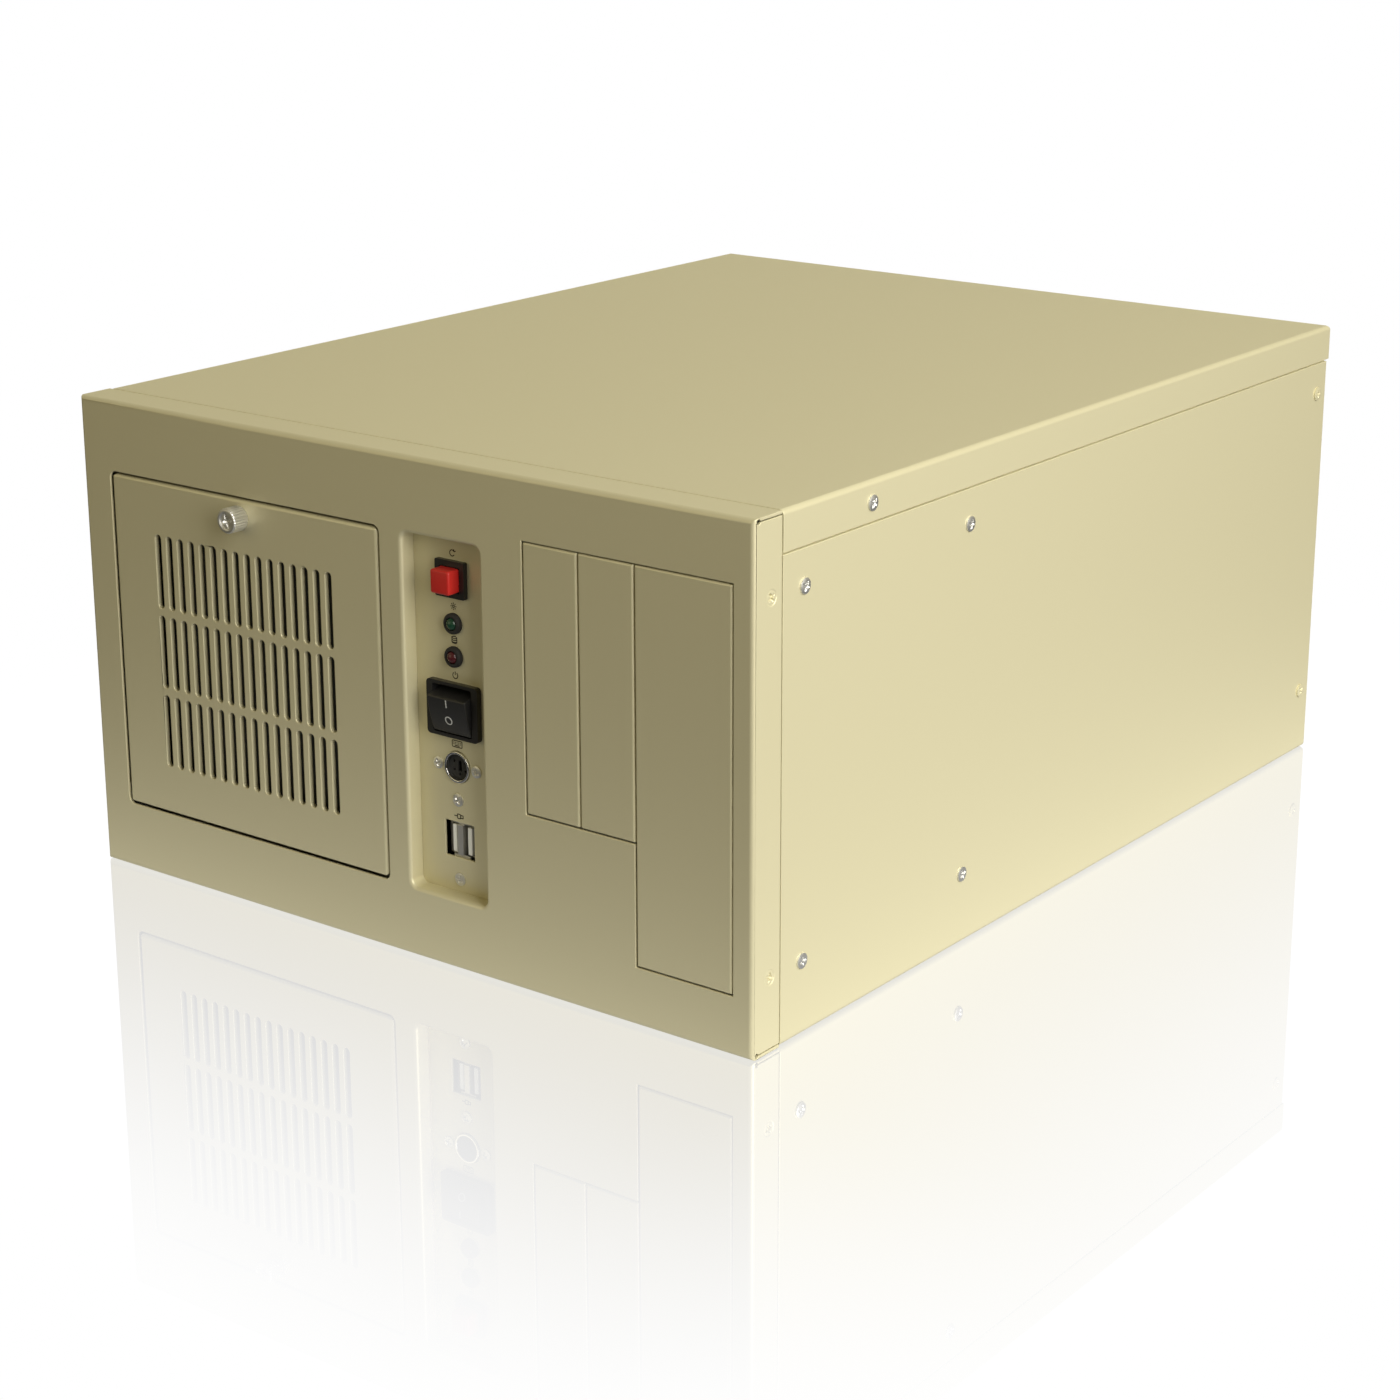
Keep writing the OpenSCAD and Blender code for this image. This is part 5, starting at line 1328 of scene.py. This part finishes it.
class CASE_OT_stage(CasePart):
    """Pale floor, soft studio lamps, backdrop light and the camera"""

    bl_idname = "case.stage"
    bl_label = "Stage"

    # Each lamp: direction from the case, distance, side of the square lamp, level, colour, and
    # whether gloss mirrors it. The level is how bright a white card facing the lamp looks.
    LAMPS = {
        "key_right": ((1.0, -0.2, 0.45), 1.9, 1.7, 1.62, (1.0, 0.98, 0.92), True),
        "overhead": ((0.1, 0.3, 1.0), 1.7, 1.5, 0.2, (0.96, 1.0, 0.88), True),
        "front_fill": ((-0.5, -1.0, 0.35), 2.3, 1.6, 0.13, (1.0, 0.9, 0.6), True),
        "rear_fill": ((-0.45, 1.0, 0.35), 2.2, 1.6, 0.55, (1.0, 0.98, 0.94), False),
        "left_fill": ((-1.0, 0.25, 0.3), 2.2, 1.6, 0.35, (1.0, 0.98, 0.94), False),
    }

    def make(self, sizes):
        stage = bpy.context.scene.case_stage
        self.lamps()
        self.world()
        self.floor(stage)
        self.camera(stage)
        bpy.context.scene.view_settings.view_transform = "Standard"
        bpy.context.scene.view_settings.look = "None"

    def lamps(self):
        """Square lamps round the case, each turned to its middle."""
        target = Vector((0, 0, 0.1))
        for name, (direction, distance, side, level, tint, mirrored) in self.LAMPS.items():
            data = bpy.data.lights.new(name, "AREA")
            data.size = side
            data.energy = level * math.pi ** 2 * distance ** 2
            data.color = tint
            lamp = bpy.data.objects.new(name, data)
            bpy.context.scene.collection.objects.link(lamp)
            outward = Vector(direction).normalized()
            lamp.location = target + outward * distance
            lamp.rotation_mode = "QUATERNION"
            lamp.rotation_quaternion = outward.to_track_quat("Z", "Y")
            lamp.visible_camera = False
            lamp.visible_glossy = mirrored

    def world(self):
        """White behind the case and in the floor's mirror, dim and warm as a source of light."""
        world = bpy.data.worlds.new("studio")
        bpy.context.scene.world = world
        tree = Tree(world)
        plain = tree.ray("camera") + tree.ray("singular")
        strength = 0.12 + 0.88 * plain + 0.08 * tree.ray("glossy")
        tint = tree.mix(plain, (1, 0.82, 0.42, 1), (1, 1, 1, 1))
        sky = tree.node("Background", {}, {"Color": tint, "Strength": strength})
        tree.node("OutputWorld", {}, {"Surface": sky})

    def floor(self, stage):
        """Square floor just under the case: a white glow, brightest to the camera, over a mirror
        that shows near the case and fades with distance from it."""
        half, drop = 2.0, 0.0003
        mesh = bpy.data.meshes.new("floor")
        mesh.from_pydata([(x * half, y * half, -drop)
                          for x, y in ((-1, -1), (1, -1), (1, 1), (-1, 1))], [], [(0, 1, 2, 3)])
        floor = bpy.data.objects.new("floor", mesh)
        bpy.context.scene.collection.objects.link(floor)
        f = Finish("pale_floor")
        side, rear, _ = CAD_BOX[1]
        place = f.node("VectorMath", {"operation": "ABSOLUTE"}, {0: f.place()})
        beyond = f.node("VectorMath", {"operation": "SUBTRACT"}, {0: place, 1: (side, rear, 1.0)})
        beyond = f.node("VectorMath", {"operation": "MAXIMUM"}, {0: beyond, 1: (0, 0, 0)})
        away = f.node("VectorMath", {"operation": "LENGTH"}, {0: beyond}, output=1)
        near = 1 - f.band(away, -0.06, stage.floor_reach)
        seen, lit = f.ray("camera"), f.ray("diffuse")
        mirror = stage.floor_mirror * near * seen
        light = stage.floor_glow * near * (0.3 + 0.7 * lit)
        glow = f.node("Emission", {}, {"Color": (1, 1, 1, 1), "Strength": seen + (1 - seen) * light})
        gloss = f.node("BsdfGlossy", {}, {"Color": (1, 1, 1, 1), "Roughness": 0.0})
        both = f.node("MixShader", {}, {0: mirror, 1: glow, 2: gloss})
        f.node("OutputMaterial", {}, {"Surface": both})
        mesh.materials.append(f.material)

    def camera(self, stage):
        """Long lens, looking down on the front and the right side."""
        data = bpy.data.cameras.new("camera")
        data.lens = stage.lens
        data.sensor_width = 36
        data.shift_y = stage.shift
        data.clip_end = 20
        camera = bpy.data.objects.new("camera", data)
        bpy.context.scene.collection.objects.link(camera)
        a, e = stage.azimuth, stage.elevation
        back = Vector((math.sin(a) * math.cos(e), -math.cos(a) * math.cos(e), math.sin(e)))
        right = Vector((math.cos(a), math.sin(a), 0))
        turn = Matrix.Rotation(-stage.roll, 3, back)
        axes = Matrix((turn @ right, turn @ back.cross(right), back)).transposed()
        camera.matrix_world = Matrix.Translation(stage.place) @ axes.to_4x4()
        bpy.context.scene.camera = camera


class CASE_PT_parts(bpy.types.Panel):
    """Lists the operators and settings"""

    bl_idname = "CASE_PT_parts"
    bl_label = "Industrial Computer Case"
    bl_space_type = "VIEW_3D"
    bl_region_type = "UI"
    bl_category = "Case"

    def draw(self, context):
        for operator in OPERATORS:
            self.layout.operator(operator.bl_idname)
        for group in ("case_sizes", "case_looks", "case_stage"):
            settings = getattr(context.scene, group)
            for name in settings.__annotations__:
                self.layout.prop(settings, name)


OPERATORS = (CASE_OT_stage, CASE_OT_painted_sheets, CASE_OT_zinc_sheets, CASE_OT_screws,
             CASE_OT_thumb_screw, CASE_OT_hinge_hardware, CASE_OT_filter_foam, CASE_OT_fans,
             CASE_OT_printed_marks, CASE_OT_reset_switch, CASE_OT_lamps, CASE_OT_power_switch,
             CASE_OT_sockets, CASE_OT_boards, CASE_OT_card_sockets, CASE_OT_hard_drive,
             CASE_OT_power_supply, CASE_OT_cables)
GROUPS = {"case_sizes": CaseSizes, "case_looks": CaseLooks, "case_stage": StageSettings}


def register():
    """Adds the settings, the operators and the panel."""
    for group in GROUPS.values():
        bpy.utils.register_class(group)
    for name, group in GROUPS.items():
        setattr(bpy.types.Scene, name, PointerProperty(type=group))
    for operator in OPERATORS:
        bpy.utils.register_class(operator)
    bpy.utils.register_class(CASE_PT_parts)


def unregister():
    """Takes them away again, last first."""
    bpy.utils.unregister_class(CASE_PT_parts)
    for operator in reversed(OPERATORS):
        bpy.utils.unregister_class(operator)
    for name in GROUPS:
        delattr(bpy.types.Scene, name)
    for group in GROUPS.values():
        bpy.utils.unregister_class(group)


def main():
    """Makes the stage and every piece."""
    register()
    for operator in OPERATORS:
        family, name = operator.bl_idname.split(".")
        getattr(getattr(bpy.ops, family), name)()


if __name__ == "__main__":
    main()
